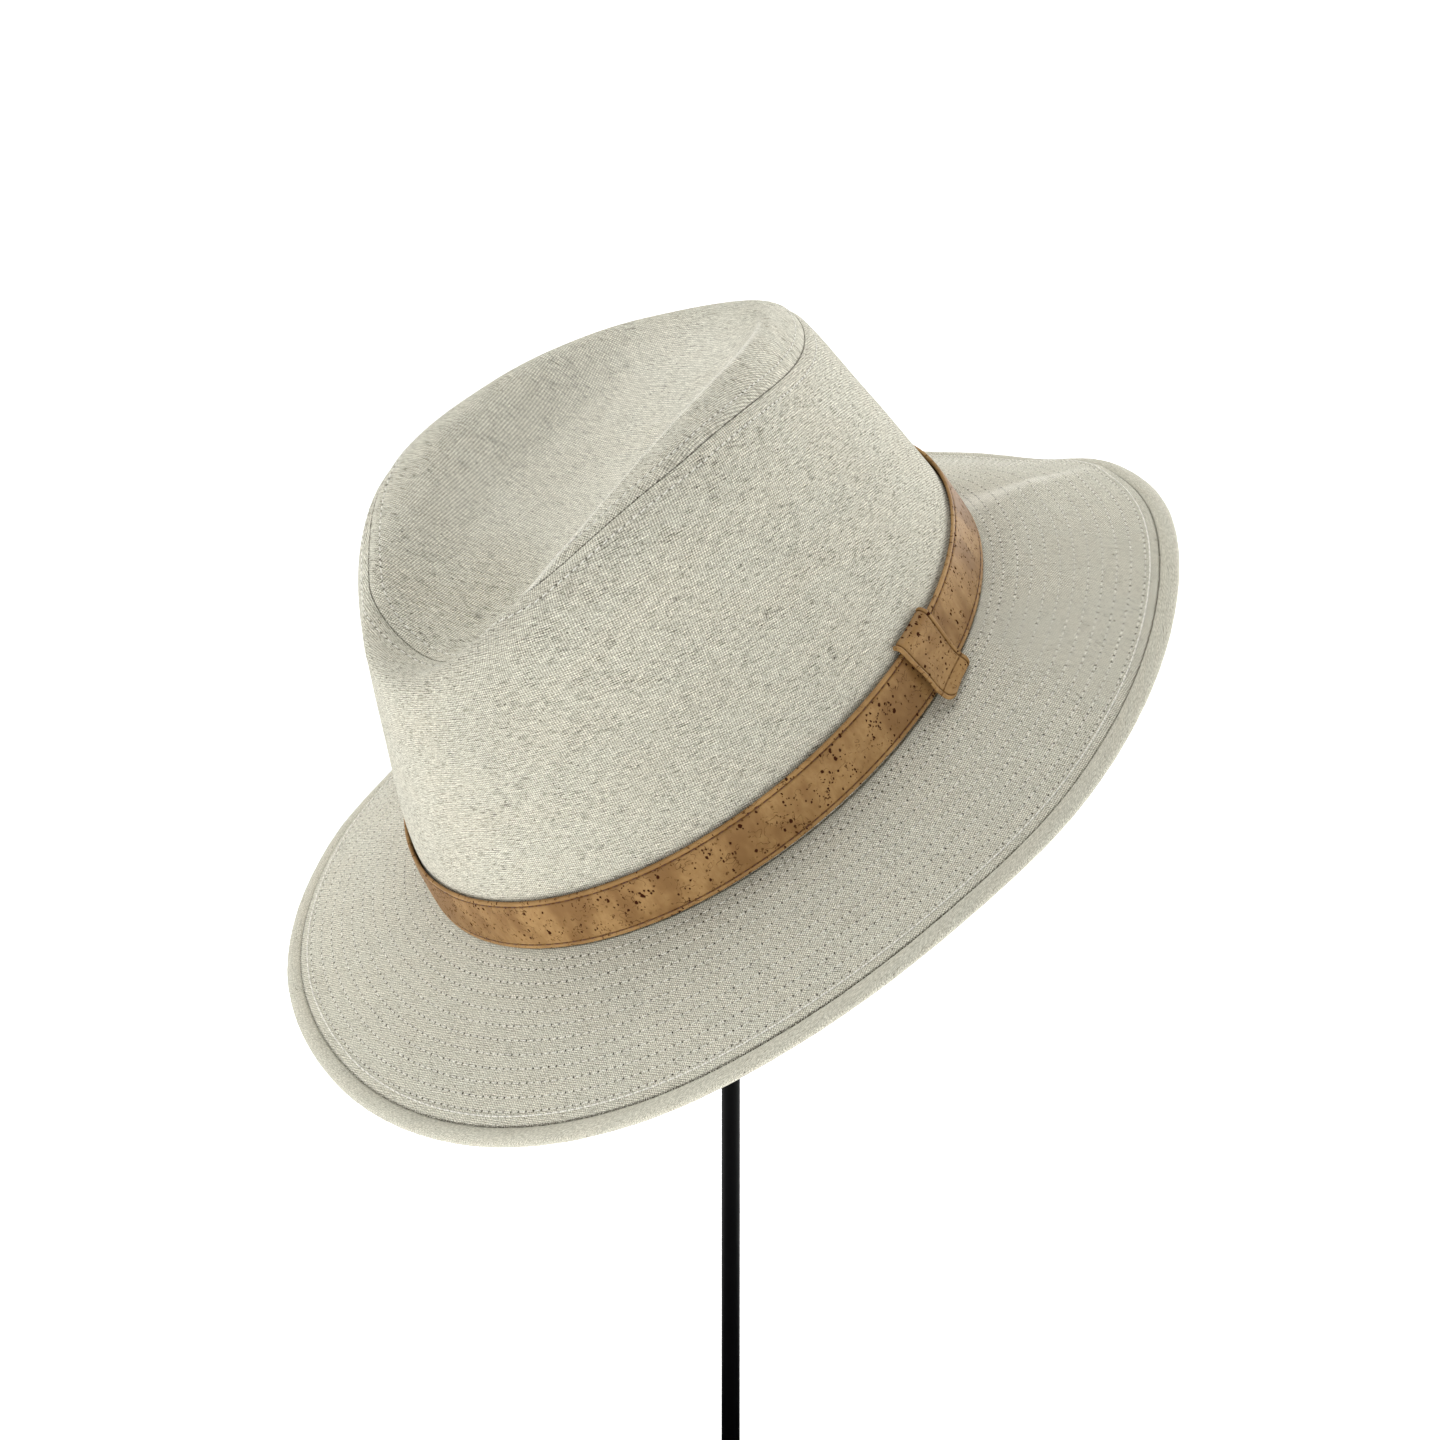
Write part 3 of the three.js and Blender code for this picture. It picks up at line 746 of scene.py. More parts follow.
def needle_holes(finish, pitch, radius):
    """A mask of round holes and the distance off the nearest row in metres: the stitching map counts
    stitches along u, with holes at whole numbers, and gives that distance along v."""
    count, off_row = finish.map_parts("stitching")
    along = finish.math("MULTIPLY", finish.math("PINGPONG", count, 0.5), pitch)
    squares = finish.math("ADD", finish.math("POWER", along, 2.0), finish.math("POWER", off_row, 2.0))
    return finish.ramp(finish.math("SQRT", squares), radius * 1.3, radius * 0.7), off_row


def crossing_threads(finish, flat):
    """Two crossing sets of threads, each as slightly uneven bands of light and dark."""
    millimetres = finish.add("Mapping", {"Vector": flat, "Scale": (1 / MM, 1 / MM, 1)})
    sets = []
    for direction, pitch in THREADS:
        inputs = {"Vector": millimetres, "Scale": WAVE_REPEAT / pitch, "Distortion": 0.7, "Detail": 1.0,
                  "Detail Scale": 0.8}
        sets.append(finish.add("TexWave", inputs, 1, bands_direction=direction))
    return finish.blend(sets[0], 0.55, sets[1])


def dark_slubs(finish, flat, weave, streaks):
    """How much dark yarn shows in long and short slubs, less in some patches and under the other set of
    threads."""
    long = finish.ramp(finish.stretched(flat, 3.2 * MM, 0.27 * MM, 41.7, 1.5), 0.575, 0.625)
    short = finish.ramp(finish.stretched(flat, 1.4 * MM, 0.28 * MM, 87.1, 1.0), 0.61, 0.66)
    patches = finish.ramp(finish.stretched(flat, 12 * MM, 7 * MM, 5.9), 0.3, 0.7, 0.45, 0.9)
    patchy = finish.math("MULTIPLY", finish.math("MAXIMUM", long, short), patches)
    on_top = finish.ramp(weave, 0.9, 0.3, 0.25 + 0.4 * streaks, 0.4 + 0.55 * streaks)
    return finish.math("MULTIPLY", patchy, on_top)


def dark_specks(finish, flat):
    """Small round specks in a few of the cells of a Voronoi pattern."""
    chance, distance = finish.cells(flat, 1.9 * MM, 1.5 * MM)
    speck = finish.math("MULTIPLY", finish.ramp(distance, 0.2, 0.1), finish.ramp(chance, 0.87, 0.93))
    return finish.math("MULTIPLY", speck, 0.85)


def linen(name, streaks, contrast, crease, spread, depth, relief):
    """Heathered canvas on the flat cloth's own coordinates: a plain weave of some contrast in pale and
    grey yarn, slow blushes of colour, slubs and specks, needle holes, and a pale painted highlight along
    the crest and the brim's fold with painted light in the dent. A crease, at a distance off the
    stitching, has painted shade of a depth and spread, and relief is the bump's."""
    cloth = settings().cloth
    finish = Finish(name)
    flat = finish.add("UVMap", uv_map="cloth")
    weave = crossing_threads(finish, flat)
    long_yarn = finish.stretched(flat, 3.6 * MM, 0.36 * MM, 3.1)
    cross_yarn = finish.stretched(flat, 0.4 * MM, 1.3 * MM, 17.3)
    grain = finish.stretched(flat, 0.34 * MM, 0.3 * MM, 71.9, 1.0)
    tone = finish.blend(finish.blend(long_yarn, 0.6, cross_yarn), 0.15 + 0.4 * streaks, grain)
    yarn = finish.mix(finish.ramp(tone, 0.36, 0.64), tuple(cloth.light), tuple(cloth.grey))
    blush = finish.ramp(finish.stretched(flat, 20 * MM, 11 * MM, 23.3), 0.36, 0.64)
    tint = finish.mix(blush, (0.997, 1.0, 0.995), (1.006, 0.997, 0.985))
    under = tuple(shade - contrast for shade in (0.965, 0.96, 0.94))
    over = tuple(shade + contrast for shade in (0.985, 0.985, 0.975))
    woven = finish.mix(1.0, finish.mix(1.0, yarn, tint, "MULTIPLY"),
                       finish.mix(finish.ramp(weave, 0.15, 0.85), under, over), "MULTIPLY")
    slubs = dark_slubs(finish, flat, weave, streaks)
    flecked = finish.mix(slubs, woven, tuple(cloth.fleck))
    flecked = finish.mix(dark_specks(finish, flat), flecked, tuple(cloth.fleck))
    hole, off_row = needle_holes(finish, settings().brim.stitch, 0.32 * MM)
    hole = finish.math("MULTIPLY", hole, finish.ramp(cross_yarn, 0.4, 0.58, 0.5, 1.0))
    # Painted shade in the crease off the stitching, patchy with the grain; with the needle holes it darkens
    # the cloth towards near black.
    shade = finish.near(off_row, -crease, spread, 0.1 * MM)
    shade = finish.math("MULTIPLY", shade, finish.ramp(grain, 0.4, 0.58, depth * 0.3, depth))
    hollow = finish.math("MAXIMUM", finish.math("MULTIPLY", hole, min(0.95, depth + 0.1)), shade)
    surface = finish.mix(hollow, flecked, (0.03, 0.024, 0.016))
    # Painted highlight along the crest and the brim's fold, and painted light inside the dent, mixed in as
    # a pale colour.
    painted_light = finish.math("MULTIPLY", finish.map_parts("painted_light")[1], 0.4)
    surface = finish.mix(painted_light, surface, (0.93, 0.91, 0.82))
    height = finish.math("ADD", weave, finish.math("MULTIPLY", tone, 0.6))
    height = finish.math("SUBTRACT", height, finish.math("MULTIPLY", hole, 2.0))
    bump = finish.add("Bump", {"Height": height, "Strength": relief, "Distance": 0.09 * MM})
    dark = finish.math("MAXIMUM", finish.math("MAXIMUM", hole, shade), slubs)
    finish.set(Base_Color=surface, Normal=bump, Roughness=0.95, Specular_IOR_Level=0.05,
               Sheen_Weight=finish.ramp(dark, 0.6, 0.1, 0.0, 0.15), Sheen_Roughness=0.4)
    return finish.material


def crown_linen():
    """The crown's cloth: strong streaks and weave, and faint painted shade in the seam."""
    return finish_named("linen_canvas", linen, streaks=1.0, contrast=0.31, crease=CROWN_STITCH_INSET,
                        spread=0.4 * MM, depth=0.6, relief=0.5)


def brim_linen():
    """The brim's cloth: calmer streaks, and deep painted shade in the ditch beside the binding."""
    crease = settings().brim.edge + EDGE_LINE_STEP
    return finish_named("linen_brim", linen, streaks=0.45, contrast=0.34, crease=crease,
                        spread=0.8 * MM, depth=0.85, relief=0.5)


def binding_linen():
    """The binding's cloth, cut aslant: it has little contrast, and no stitching or crease."""
    return finish_named("linen_binding", linen, streaks=0.1, contrast=0.12, crease=AWAY,
                        spread=0.1 * MM, depth=0.0, relief=0.15)


def pores(finish, vector, size, share, shift, reach):
    """Dark spots of random size in a share of the cells of a Voronoi pattern."""
    chance, distance = finish.cells(vector, size, size / 0.75, shift)
    width = finish.ramp(chance, 1 - share, 1.0, 0.0, reach)
    return finish.ramp(finish.math("SUBTRACT", width, distance), -0.01, 0.07)


def cork(name):
    """Cork skin: warm patches that run across, dark pores in clusters with pale rims, thin cracks that
    curl round small islands, a paler strip along its edges and a line of painted shade in the groove
    under the stitches, and a satin surface that is rougher in the pores."""
    band = settings().band
    finish = Finish(name)
    flat = finish.add("UVMap", uv_map="cloth")
    wander = finish.add("TexNoise", {"Vector": flat, "Scale": 900.0, "Detail": 2.0}, 1)
    warp = finish.add("VectorMath", {0: wander, 1: (0.9 * MM, 0.9 * MM, 0)}, operation="MULTIPLY")
    bent = finish.add("VectorMath", {0: flat, 1: warp}, operation="ADD")
    patches = finish.stretched(flat, 13 * MM, 22 * MM, 9.3, 3.0, 0.1)
    fine = finish.stretched(flat, 1.1 * MM, 2.2 * MM, 2.2, 4.0)
    light, strip, rim = (tuple(min(1, c * gain) for c in band.cork) for gain in (1.2, 1.35, 1.6))
    deep = tuple(c * gain for c, gain in zip(band.cork, (0.7, 0.61, 0.5)))
    body = finish.mix(finish.ramp(patches, 0.38, 0.62), light, deep)
    body = finish.mix(finish.ramp(fine, 0.35, 0.7, 0, 0.4), body, deep)
    clusters = finish.ramp(finish.stretched(flat, 8 * MM, 8 * MM, 31.1), 0.42, 0.55, 0.35, 1.0)
    crowds = finish.ramp(finish.stretched(flat, 9 * MM, 9 * MM, 77.7), 0.5, 0.58, 0.0, 1.0)
    small = finish.math("MULTIPLY", pores(finish, bent, 1.05 * MM, 0.8, 0.0, 0.36), clusters)
    tiny = finish.math("MULTIPLY", pores(finish, bent, 0.7 * MM, 0.6, 9.1, 0.4), crowds)
    large = pores(finish, bent, 2.4 * MM, 0.6, 3.3, 0.26)
    spots = finish.math("MAXIMUM", finish.math("MAXIMUM", small, tiny), large)
    curl = finish.stretched(bent, 2.8 * MM, 2.8 * MM, 13.7, 1.0)
    where = finish.ramp(finish.stretched(flat, 5 * MM, 5 * MM, 51.9), 0.5, 0.56)
    crack = finish.math("MULTIPLY", finish.near(curl, 0.53, 0.014, 0.004), where)
    inset = finish.map_parts("edge")[1]
    edged = finish.mix(finish.ramp(inset, band.seam, band.seam - 0.3 * MM, 0, 0.3), body, strip)
    rimmed = finish.mix(finish.math("MULTIPLY", finish.ramp(spots, 0.0, 0.4), 0.3), edged, rim)
    # Painted shade: a dark line in the groove under each row of stitches and across the keeper near its
    # lower end, patchy with the fine grain.
    fold = finish.math("MULTIPLY", finish.near(inset, band.seam, 0.38 * MM, 0.12 * MM), 0.85)
    fold = finish.math("MULTIPLY", fold, finish.ramp(fine, 0.35, 0.6, 1.0, 0.5))
    dark = finish.math("MAXIMUM", finish.math("MAXIMUM", spots, fold), finish.math("MULTIPLY", crack, 0.8))
    hollow = finish.math("MAXIMUM", spots, crack)
    height = finish.math("SUBTRACT", finish.math("MULTIPLY", fine, 0.3), hollow)
    bump = finish.add("Bump", {"Height": height, "Strength": 0.7, "Distance": 0.15 * MM})
    finish.set(Base_Color=finish.mix(dark, rimmed, tuple(band.pore)), Normal=bump,
               Roughness=finish.ramp(spots, 0.0, 1.0, 0.55, 0.9),
               Specular_IOR_Level=finish.ramp(dark, 0.1, 0.6, 0.22, 0.02))
    return finish.material


def thread(name, shade):
    """Twisted sewing thread: its strands show as fine bands of light and dark."""
    finish = Finish(name)
    where = finish.add("TexCoord", output=3)
    inputs = {"Vector": where, "Scale": 420.0, "Distortion": 1.5}
    strands = finish.add("TexWave", inputs, 1, bands_direction="DIAGONAL")
    dark = tuple(c * 0.72 for c in shade)
    finish.set(Base_Color=finish.mix(strands, dark, shade), Roughness=0.75, Specular_IOR_Level=0.3,
               Sheen_Weight=0.1)
    return finish.material


def black_paint(name):
    """Satin black paint with a slight orange-peel."""
    finish = Finish(name)
    where = finish.add("TexCoord", output=3)
    peel = finish.add("TexNoise", {"Vector": where, "Scale": 700.0, "Detail": 2.0})
    smudge = finish.add("TexNoise", {"Vector": where, "Scale": 45.0, "Detail": 3.0})
    base = tuple(settings().stand.paint)
    finish.set(Base_Color=finish.mix(smudge, base, tuple(c * 1.8 for c in base)),
               Roughness=finish.ramp(smudge, 0.3, 0.7, 0.38, 0.5), Specular_IOR_Level=0.04,
               Normal=finish.add("Bump", {"Height": peel, "Strength": 0.12, "Distance": 0.05 * MM}))
    return finish.material


def backdrop_finish(name):
    """Pale matt paper with a hardly visible mottle."""
    finish = Finish(name)
    where = finish.add("TexCoord", output=3)
    mottle = finish.add("TexNoise", {"Vector": where, "Scale": 6.0, "Detail": 3.0})
    base = tuple(settings().stage.backdrop)
    finish.set(Base_Color=finish.mix(mottle, base, tuple(c * 0.985 for c in base)), Roughness=1.0,
               Specular_IOR_Level=0.0, Emission_Color=(*base, 1), Emission_Strength=settings().stage.glow)
    return finish.material


def finish_named(name, maker, **values):
    """A finish that several pieces share, made once."""
    return bpy.data.materials.get(name) or maker(name, **values)


# Pieces


def crown_rows(angle, sheet_rows, panel):
    """Places of a panel's rows, from far off the seam to its edge, as a grid of rows by columns, their
    distances square off the edge, and their lengths from the edge along each column. panel is -1 below
    the seam and 1 above it."""
    near = np.array(SEAM_ROWS[::-1])[:, None] * MM
    beside = off_seam(angle, panel * (SEAM_GAP / 2 + near))
    far = 0 if panel < 0 else FLOOR_RING
    share = np.linspace(0, 1, sheet_rows, endpoint=False)[:, None]
    place = np.concatenate((far + share * (beside[0] - far), beside))
    steps = np.linalg.norm(np.diff(crown_surface(angle, place), axis=0), axis=-1)
    length = np.concatenate((np.cumsum(steps[::-1], 0)[::-1], np.zeros((1, angle.size))))
    beyond = near[0] + length[:sheet_rows] - length[sheet_rows]
    return place, np.concatenate((beyond, near + 0 * angle)), length


def crown_stitches(panel):
    """Stitches of the row beside the crown's seam, below it (-1) or above it (1)."""
    angle = columns_round(CROWN_PATH_STEPS)
    place = off_seam(angle, np.array([[panel * (SEAM_GAP / 2 + CROWN_STITCH_INSET)]]))[0]
    off = crown_relief(angle, place, CROWN_STITCH_INSET)
    return spaced(placed(off_crown(angle, place, off)), turned(crown_normal(angle, place)),
                  settings().brim.stitch)


def crown_stitch_map(angle, distance, panel):
    """Counts stitches round the seam and gives each point's distance beyond the row of stitches."""
    count = crown_stitches(panel)[3]
    count = np.append(np.interp(angle, columns_round(len(count)), count), round(count[-1]))
    off = wrapped(distance - CROWN_STITCH_INSET)
    return np.stack((count + 0 * off, off), -1)


class SAFARI_OT_crown_side(Operator):
    """Make the side panel of the crown"""
    bl_idname = "safari.crown_side"
    bl_label = "Crown Side"

    def execute(self, context):
        cloth = settings().cloth
        angle = columns_round(cloth.columns)
        # The crown's face from the foot to the seam, closed into a shell by every fifth row inside.
        place, distance, length = crown_rows(angle, SIDE_ROWS, -1)
        outer = off_crown(angle, place, crown_relief(angle, place, distance))
        inside = slice(None, None, -INSIDE_STEP)
        inner = off_crown(angle, place[inside], -cloth.thickness)
        points = np.concatenate((outer, inner))
        slant = length[0] - length
        slant = np.concatenate((slant, slant[inside]))
        distance = np.concatenate((distance, distance[inside] + AWAY))
        flat = flat_cone(np.append(angle, math.pi), -wrapped(slant), *SIDE_CUT)
        stitching = crown_stitch_map(angle, distance, -1)
        maps = {"cloth": grid_corners(flat), "stitching": grid_corners(stitching)}
        make_piece("crown_side_cloth", placed(points).reshape(-1, 3), grid_faces(*points.shape[:2]),
                   crown_linen(), "linen", ("crown_side_left", "crown_side_right"), maps)
        return {"FINISHED"}


class SAFARI_OT_crown_tip(Operator):
    """Make the teardrop top panel of the crown"""
    bl_idname = "safari.crown_tip"
    bl_label = "Crown Tip"

    def execute(self, context):
        cloth = settings().cloth
        angle = columns_round(cloth.columns)
        # The crown's face from the seam to the floor of the dent, where the columns fold shut on a line.
        place, distance, _ = crown_rows(angle, TIP_ROWS, 1)
        outer = off_crown(angle, place, crown_relief(angle, place, distance))
        inside = np.append(np.arange(len(place) - 1, 0, -INSIDE_STEP), 0)
        inner = off_crown(angle, place[inside], -cloth.thickness)
        points = np.concatenate((outer, inner))
        stitching = crown_stitch_map(angle, np.concatenate((distance, distance[inside] + AWAY)), 1)
        maps = {"cloth": grid_corners(wrapped(points)[..., 1::-1], False),
                "stitching": grid_corners(stitching, False),
                "painted_light": grid_corners(shade_map(self.painted_light(angle, place, inside)), False)}
        faces = grid_faces(*points.shape[:2], closed=False, folded=True)
        make_piece("crown_tip_cloth", placed(points).reshape(-1, 3), faces, crown_linen(), "linen",
                   ("crown_tip",), maps)
        return {"FINISHED"}

    def painted_light(self, angle, place, inside):
        """How much painted light the cloth gets: a painted highlight most along the crest, half as much
        painted light inside the dent where it fades out towards the front, and none on the inner face."""
        # Painted light inside the dent, fading out towards the front.
        painted_dent_light = 0.5 * np.clip((place - CREST_RING) / 0.6, 0, 1) * np.clip(1.3 - 2 * np.cos(angle), 0, 1)
        painted_light = np.maximum(crest_line(angle, place, 1.0 * MM), painted_dent_light)
        return np.concatenate((painted_light, 0 * place[inside]))


class SAFARI_OT_crown_stitches(Operator):
    """Make the rows of pale stitches on both sides of the crown's seam"""
    bl_idname = "safari.crown_stitches"
    bl_label = "Crown Stitches"

    def execute(self, context):
        pale = finish_named("pale_thread", thread, shade=PALE_THREAD)
        for name, panel in (("crown_side_stitches", -1), ("crown_tip_stitches", 1)):
            middle, direction, normal, _ = crown_stitches(panel)
            points, faces = stitch_mesh(middle, direction, normal, CROWN_STITCH)
            make_piece(name, points, faces, pale, "linen")
        return {"FINISHED"}


def brim_row_shares():
    """Shares of the brim's width at which its rows of stitching run: one beside the band, and even
    rows that end next to the thick edge line."""
    brim = settings().brim
    last = (BRIM_MIDDLE - brim.binding_width - brim.edge - EDGE_LINE_STEP) / BRIM_MIDDLE
    even = np.linspace(EVEN_ROWS_START / BRIM_MIDDLE, last, brim.rows)
    return np.concatenate(([brim.first / BRIM_MIDDLE], even))


def edge_line_share():
    """The share of the brim's width at which the thick edge line runs."""
    return brim_row_shares()[-1] + EDGE_LINE_STEP / BRIM_MIDDLE


def brim_row_phases():
    """Shares of the width of all rows with the edge line, and where each row's first stitch starts, as a
    share of a stitch, drawn once for all rows."""
    rows = np.append(brim_row_shares(), edge_line_share())
    return rows, np.random.default_rng(SEED).uniform(0, 1, len(rows))


def brim_row_counts():
    """The number of stitches in each row, by its length."""
    rows, _ = brim_row_phases()
    angle = columns_round(720)
    path = brim_surface(angle, rows[:, None] * brim_width(angle), 0)
    return np.round(length_round(path)[:, -1] / settings().brim.stitch)


class SAFARI_OT_brim(Operator):
    """Make the stitched brim"""
    bl_idname = "safari.brim"
    bl_label = "Brim"

    def execute(self, context):
        cloth, brim = settings().cloth, settings().brim
        angle = columns_round(cloth.brim_columns)
        width = brim_width(angle)
        # Rows of points run from under the crown to the binding, six for each row of stitches, and back
        # along the lower face.
        rows, _ = brim_row_phases()
        head = np.linspace(-BRIM_TUCK / BRIM_MIDDLE, rows[0], 6, endpoint=False)
        between = [np.linspace(a, b, 6, endpoint=False) for a, b in zip(rows, rows[1:])]
        outermost = (width - brim.binding_width + brim.tuck) / width
        tail = rows[-1] + np.linspace(0, 1, 8)[:, None] * (outermost - rows[-1])
        share = np.concatenate((np.concatenate([head, *between])[:, None] + 0 * angle, tail))
        lift, off_row = brim_relief(angle, share)
        upper = brim_surface(angle, share * width, lift)
        under = slice(None, None, -2)
        lower = brim_surface(angle, share[under] * width, lift[under] - cloth.thickness)
        rim = brim_surface(angle, -BRIM_TUCK, 0)
        rim[..., 2] -= cloth.thickness / np.cos(np.radians(around_brim((2, 3), angle)))
        points = np.concatenate((upper, lower[:-1], rim[None]))
        run = wrapped(np.concatenate((share, share[under])) * width)
        # A painted highlight along the brim's fold, none on the lower face.
        painted_light = np.concatenate((fold_line(angle, share), 0 * share[under]))
        stitching = self.stitching(angle, share, off_row, under)
        maps = {"cloth": grid_corners(flat_cone(np.append(angle, math.pi), run, *BRIM_CUT)),
                "painted_light": grid_corners(shade_map(painted_light)), "stitching": grid_corners(stitching)}
        make_piece("brim_cloth", placed(points).reshape(-1, 3), grid_faces(*points.shape[:2]),
                   brim_linen(), "linen", ("brim",), maps)
        return {"FINISHED"}

    def stitching(self, angle, share, off_row, under):
        """Counts stitches along each row, from the back, and gives the distance off the nearest row."""
        length = length_round(brim_surface(angle, share * brim_width(angle), 0))
        rows, phases = brim_row_phases()
        nearest = np.argmin(np.abs(share[:, :1] - rows), 1)
        count = length / length[:, -1:] * brim_row_counts()[nearest][:, None] + phases[nearest][:, None]
        return np.stack((np.concatenate((count, count[under])),
                         wrapped(np.concatenate((off_row, off_row[under])))), -1)


def brim_stitch_rows(side, off, shares, size):
    """Stitches of several rows on the brim's upper (1) or lower (-1) face."""
    angle = columns_round(BRIM_PATH_STEPS)
    rows, phases = brim_row_phases()
    counts = brim_row_counts()
    meshes = []
    for share in shares:
        run = share * brim_width(angle)
        lift, _ = brim_relief(angle, share)
        path = brim_surface(angle, run, off + lift)
        normal = side * unit(brim_surface(angle, run, off + MM) - brim_surface(angle, run, off))
        row = np.argmin(np.abs(rows - share))
        middle, direction, facing, _ = spaced(placed(path), turned(normal), None, int(counts[row]))
        ahead = settings().brim.stitch * phases[row]
        meshes.append(stitch_mesh(middle - direction * ahead, direction, facing, size))
    return joined(meshes)


class SAFARI_OT_brim_stitches(Operator):
    """Make the rows of stitching on both faces of the brim"""
    bl_idname = "safari.brim_stitches"
    bl_label = "Brim Stitches"

    def execute(self, context):
        plain = finish_named("linen_thread", thread, shade=LINEN_THREAD)
        pale = finish_named("pale_thread", thread, shade=PALE_THREAD)
        thin = (brim_row_shares(), BRIM_STITCH, plain)
        thick = ([edge_line_share()], EDGE_STITCH, pale)
        under = -settings().cloth.thickness
        for name, side, off, (shares, size, finish) in (
                ("brim_stitches", 1, 0.0, thin),
                ("brim_under_stitches", -1, under, thin),
                ("brim_edge_stitches", 1, 0.08 * MM, thick),
                ("brim_under_edge_stitches", -1, under, thick)):
            make_piece(name, *brim_stitch_rows(side, off, shares, size), finish, "linen")
        return {"FINISHED"}


class SAFARI_OT_binding(Operator):
    """Make the rolled binding round the brim's edge"""
    bl_idname = "safari.binding"
    bl_label = "Binding"

    def execute(self, context):
        cloth, brim = settings().cloth, settings().brim
        angle = columns_round(cloth.brim_columns * 2)
        # An oval, slightly puckered, is carried round the brim's edge. Its last row of points is the first
        # again, for the flat maps alone.
        turn = math.pi * (1 + np.arange(23)[:, None] / 11)
        half = brim.binding_width / 2
        pucker = 0.07 * MM * unevenness(angle * 9, turn) + 0.05 * MM * unevenness(angle * 23, turn * 2)
        run = brim_width(angle) - half + (half + pucker) * np.cos(turn)
        off = (brim.binding_height / 2 + pucker) * np.sin(turn) - cloth.thickness / 2 + brim_forms(angle, 1)
        points = brim_surface(angle, run, off)
        maps = self.flat_maps(points)
        points = points[:-1]
        make_piece("brim_binding_cloth", placed(points).reshape(-1, 3), grid_faces(*points.shape[:2]),
                   binding_linen(), "linen", ("brim_binding",), maps)
        return {"FINISHED"}

    def flat_maps(self, points):
        """The strip cut aslant, laid flat from its first row to the same row again, and a stitching map
        that stays clear of holes."""
        length = length_round(points)
        steps = np.linalg.norm(np.diff(points, axis=0), axis=-1).mean(1)
        around = np.append(0, np.cumsum(steps))[:, None]
        bias = np.stack((length + around, length - around), -1) / math.sqrt(2)
        no_holes = np.full(bias.shape, 0.25)
        return {"cloth": grid_corners(bias, False), "stitching": grid_corners(no_holes, False)}


def band_standoff(angle, share):
    """How far the band stands off the crown: a little at its upper edge, most at the back and front."""
    return GAP + 0.35 * MM * share**2 * (1 - np.cos(2 * angle + 0.5)) + 0.1 * MM


def band_place(angle, share):
    """Places on the crown behind the band, at a share of its height. Its edges wave up and down."""
    band = settings().band
    height = band.low + share * (band.high - band.low) + 0.12 * MM * np.sin(5 * angle + 1.3)
    return place_at_height(angle, height)


class SAFARI_OT_band(Operator):
    """Make the cork band with its stitched edges"""
    bl_idname = "safari.band"
    bl_label = "Hat Band"

    def execute(self, context):
        band = settings().band
        angle = columns_round(720)
        tall = band.high - band.low
        # A strip off the crown's wall with turned edges, a groove under each row of stitches and slow
        # swells. Its rows of points are closest at the edges and the grooves.
        spans = ((0, 0.06, 5), (0.07, 0.17, 9), (0.2, 0.8, 13), (0.83, 0.93, 9), (0.94, 1, 5))
        share = np.concatenate([np.linspace(*span) for span in spans])[:, None]
        place = band_place(angle, share)
        end = np.minimum(share, 1 - share) * tall
        lift = (band.thickness - rolled_edge(end, 0.5 * MM) - 0.3 * MM * groove(end - band.seam, 0.35 * MM)
                + 0.1 * MM * groove(end - 5 * MM, 3 * MM) + 0.06 * MM * unevenness(angle * 3, share * 4))
        off = band_standoff(angle, share)
        outer = off_crown(angle, place, off + lift)
        inside = slice(None, None, -6)
        inner = off_crown(angle, place[inside], off[inside] + rolled_edge(end, 0.4 * MM)[inside])
        points = np.concatenate((outer, inner))
        length = np.append(angle, math.pi) * BAND_RADIUS
        up = np.concatenate((share, share[inside])) * tall
        flat = np.stack(np.broadcast_arrays(length, up), -1)
        inset = np.concatenate((end, end[inside] + AWAY)) + 0 * flat[..., 0]
        maps = {"cloth": grid_corners(flat), "edge": grid_corners(np.stack((flat[..., 0], inset), -1))}
        make_piece("hat_band_cork", placed(points).reshape(-1, 3), grid_faces(*points.shape[:2]),
                   finish_named("cork_skin", cork), "cork", ("hat_band",), maps)
        self.stitches(band, tall)
        return {"FINISHED"}

    def stitches(self, band, tall):
        """A row of dark stitches in the groove along each edge."""
        brown = finish_named("brown_thread", thread, shade=BROWN_THREAD)
        angle = columns_round(BAND_PATH_STEPS)
        meshes = []
        for share in (band.seam / tall, 1 - band.seam / tall):
            place = band_place(angle, share)
            off = band_standoff(angle, share) + band.thickness - 0.3 * MM
            path = placed(off_crown(angle, place, off))
            middle, direction, facing, _ = spaced(path, turned(crown_normal(angle, place)), BAND_PITCH)
            meshes.append(stitch_mesh(middle, direction, facing, BAND_STITCH))
        make_piece("band_stitches", *joined(meshes), brown, "cork")


def smooth_path(corners, count):
    """Catmull-Rom through the corners, with its ends carried straight on."""
    corners = np.array(corners) * MM
    padded = np.concatenate((2 * corners[:1] - corners[1:2], corners, 2 * corners[-1:] - corners[-2:-1]))
    position = np.linspace(0, len(corners) - 1, count)
    index = np.minimum(position.astype(int), len(corners) - 2)
    u = (position - index)[:, None]
    p0, p1, p2, p3 = (padded[index + k] for k in range(4))
    return p1 + u / 2 * (p2 - p0 + u * (2 * p0 - 5 * p1 + 4 * p2 - p3 + u * (3 * p1 - p0 - 3 * p2 + p3)))


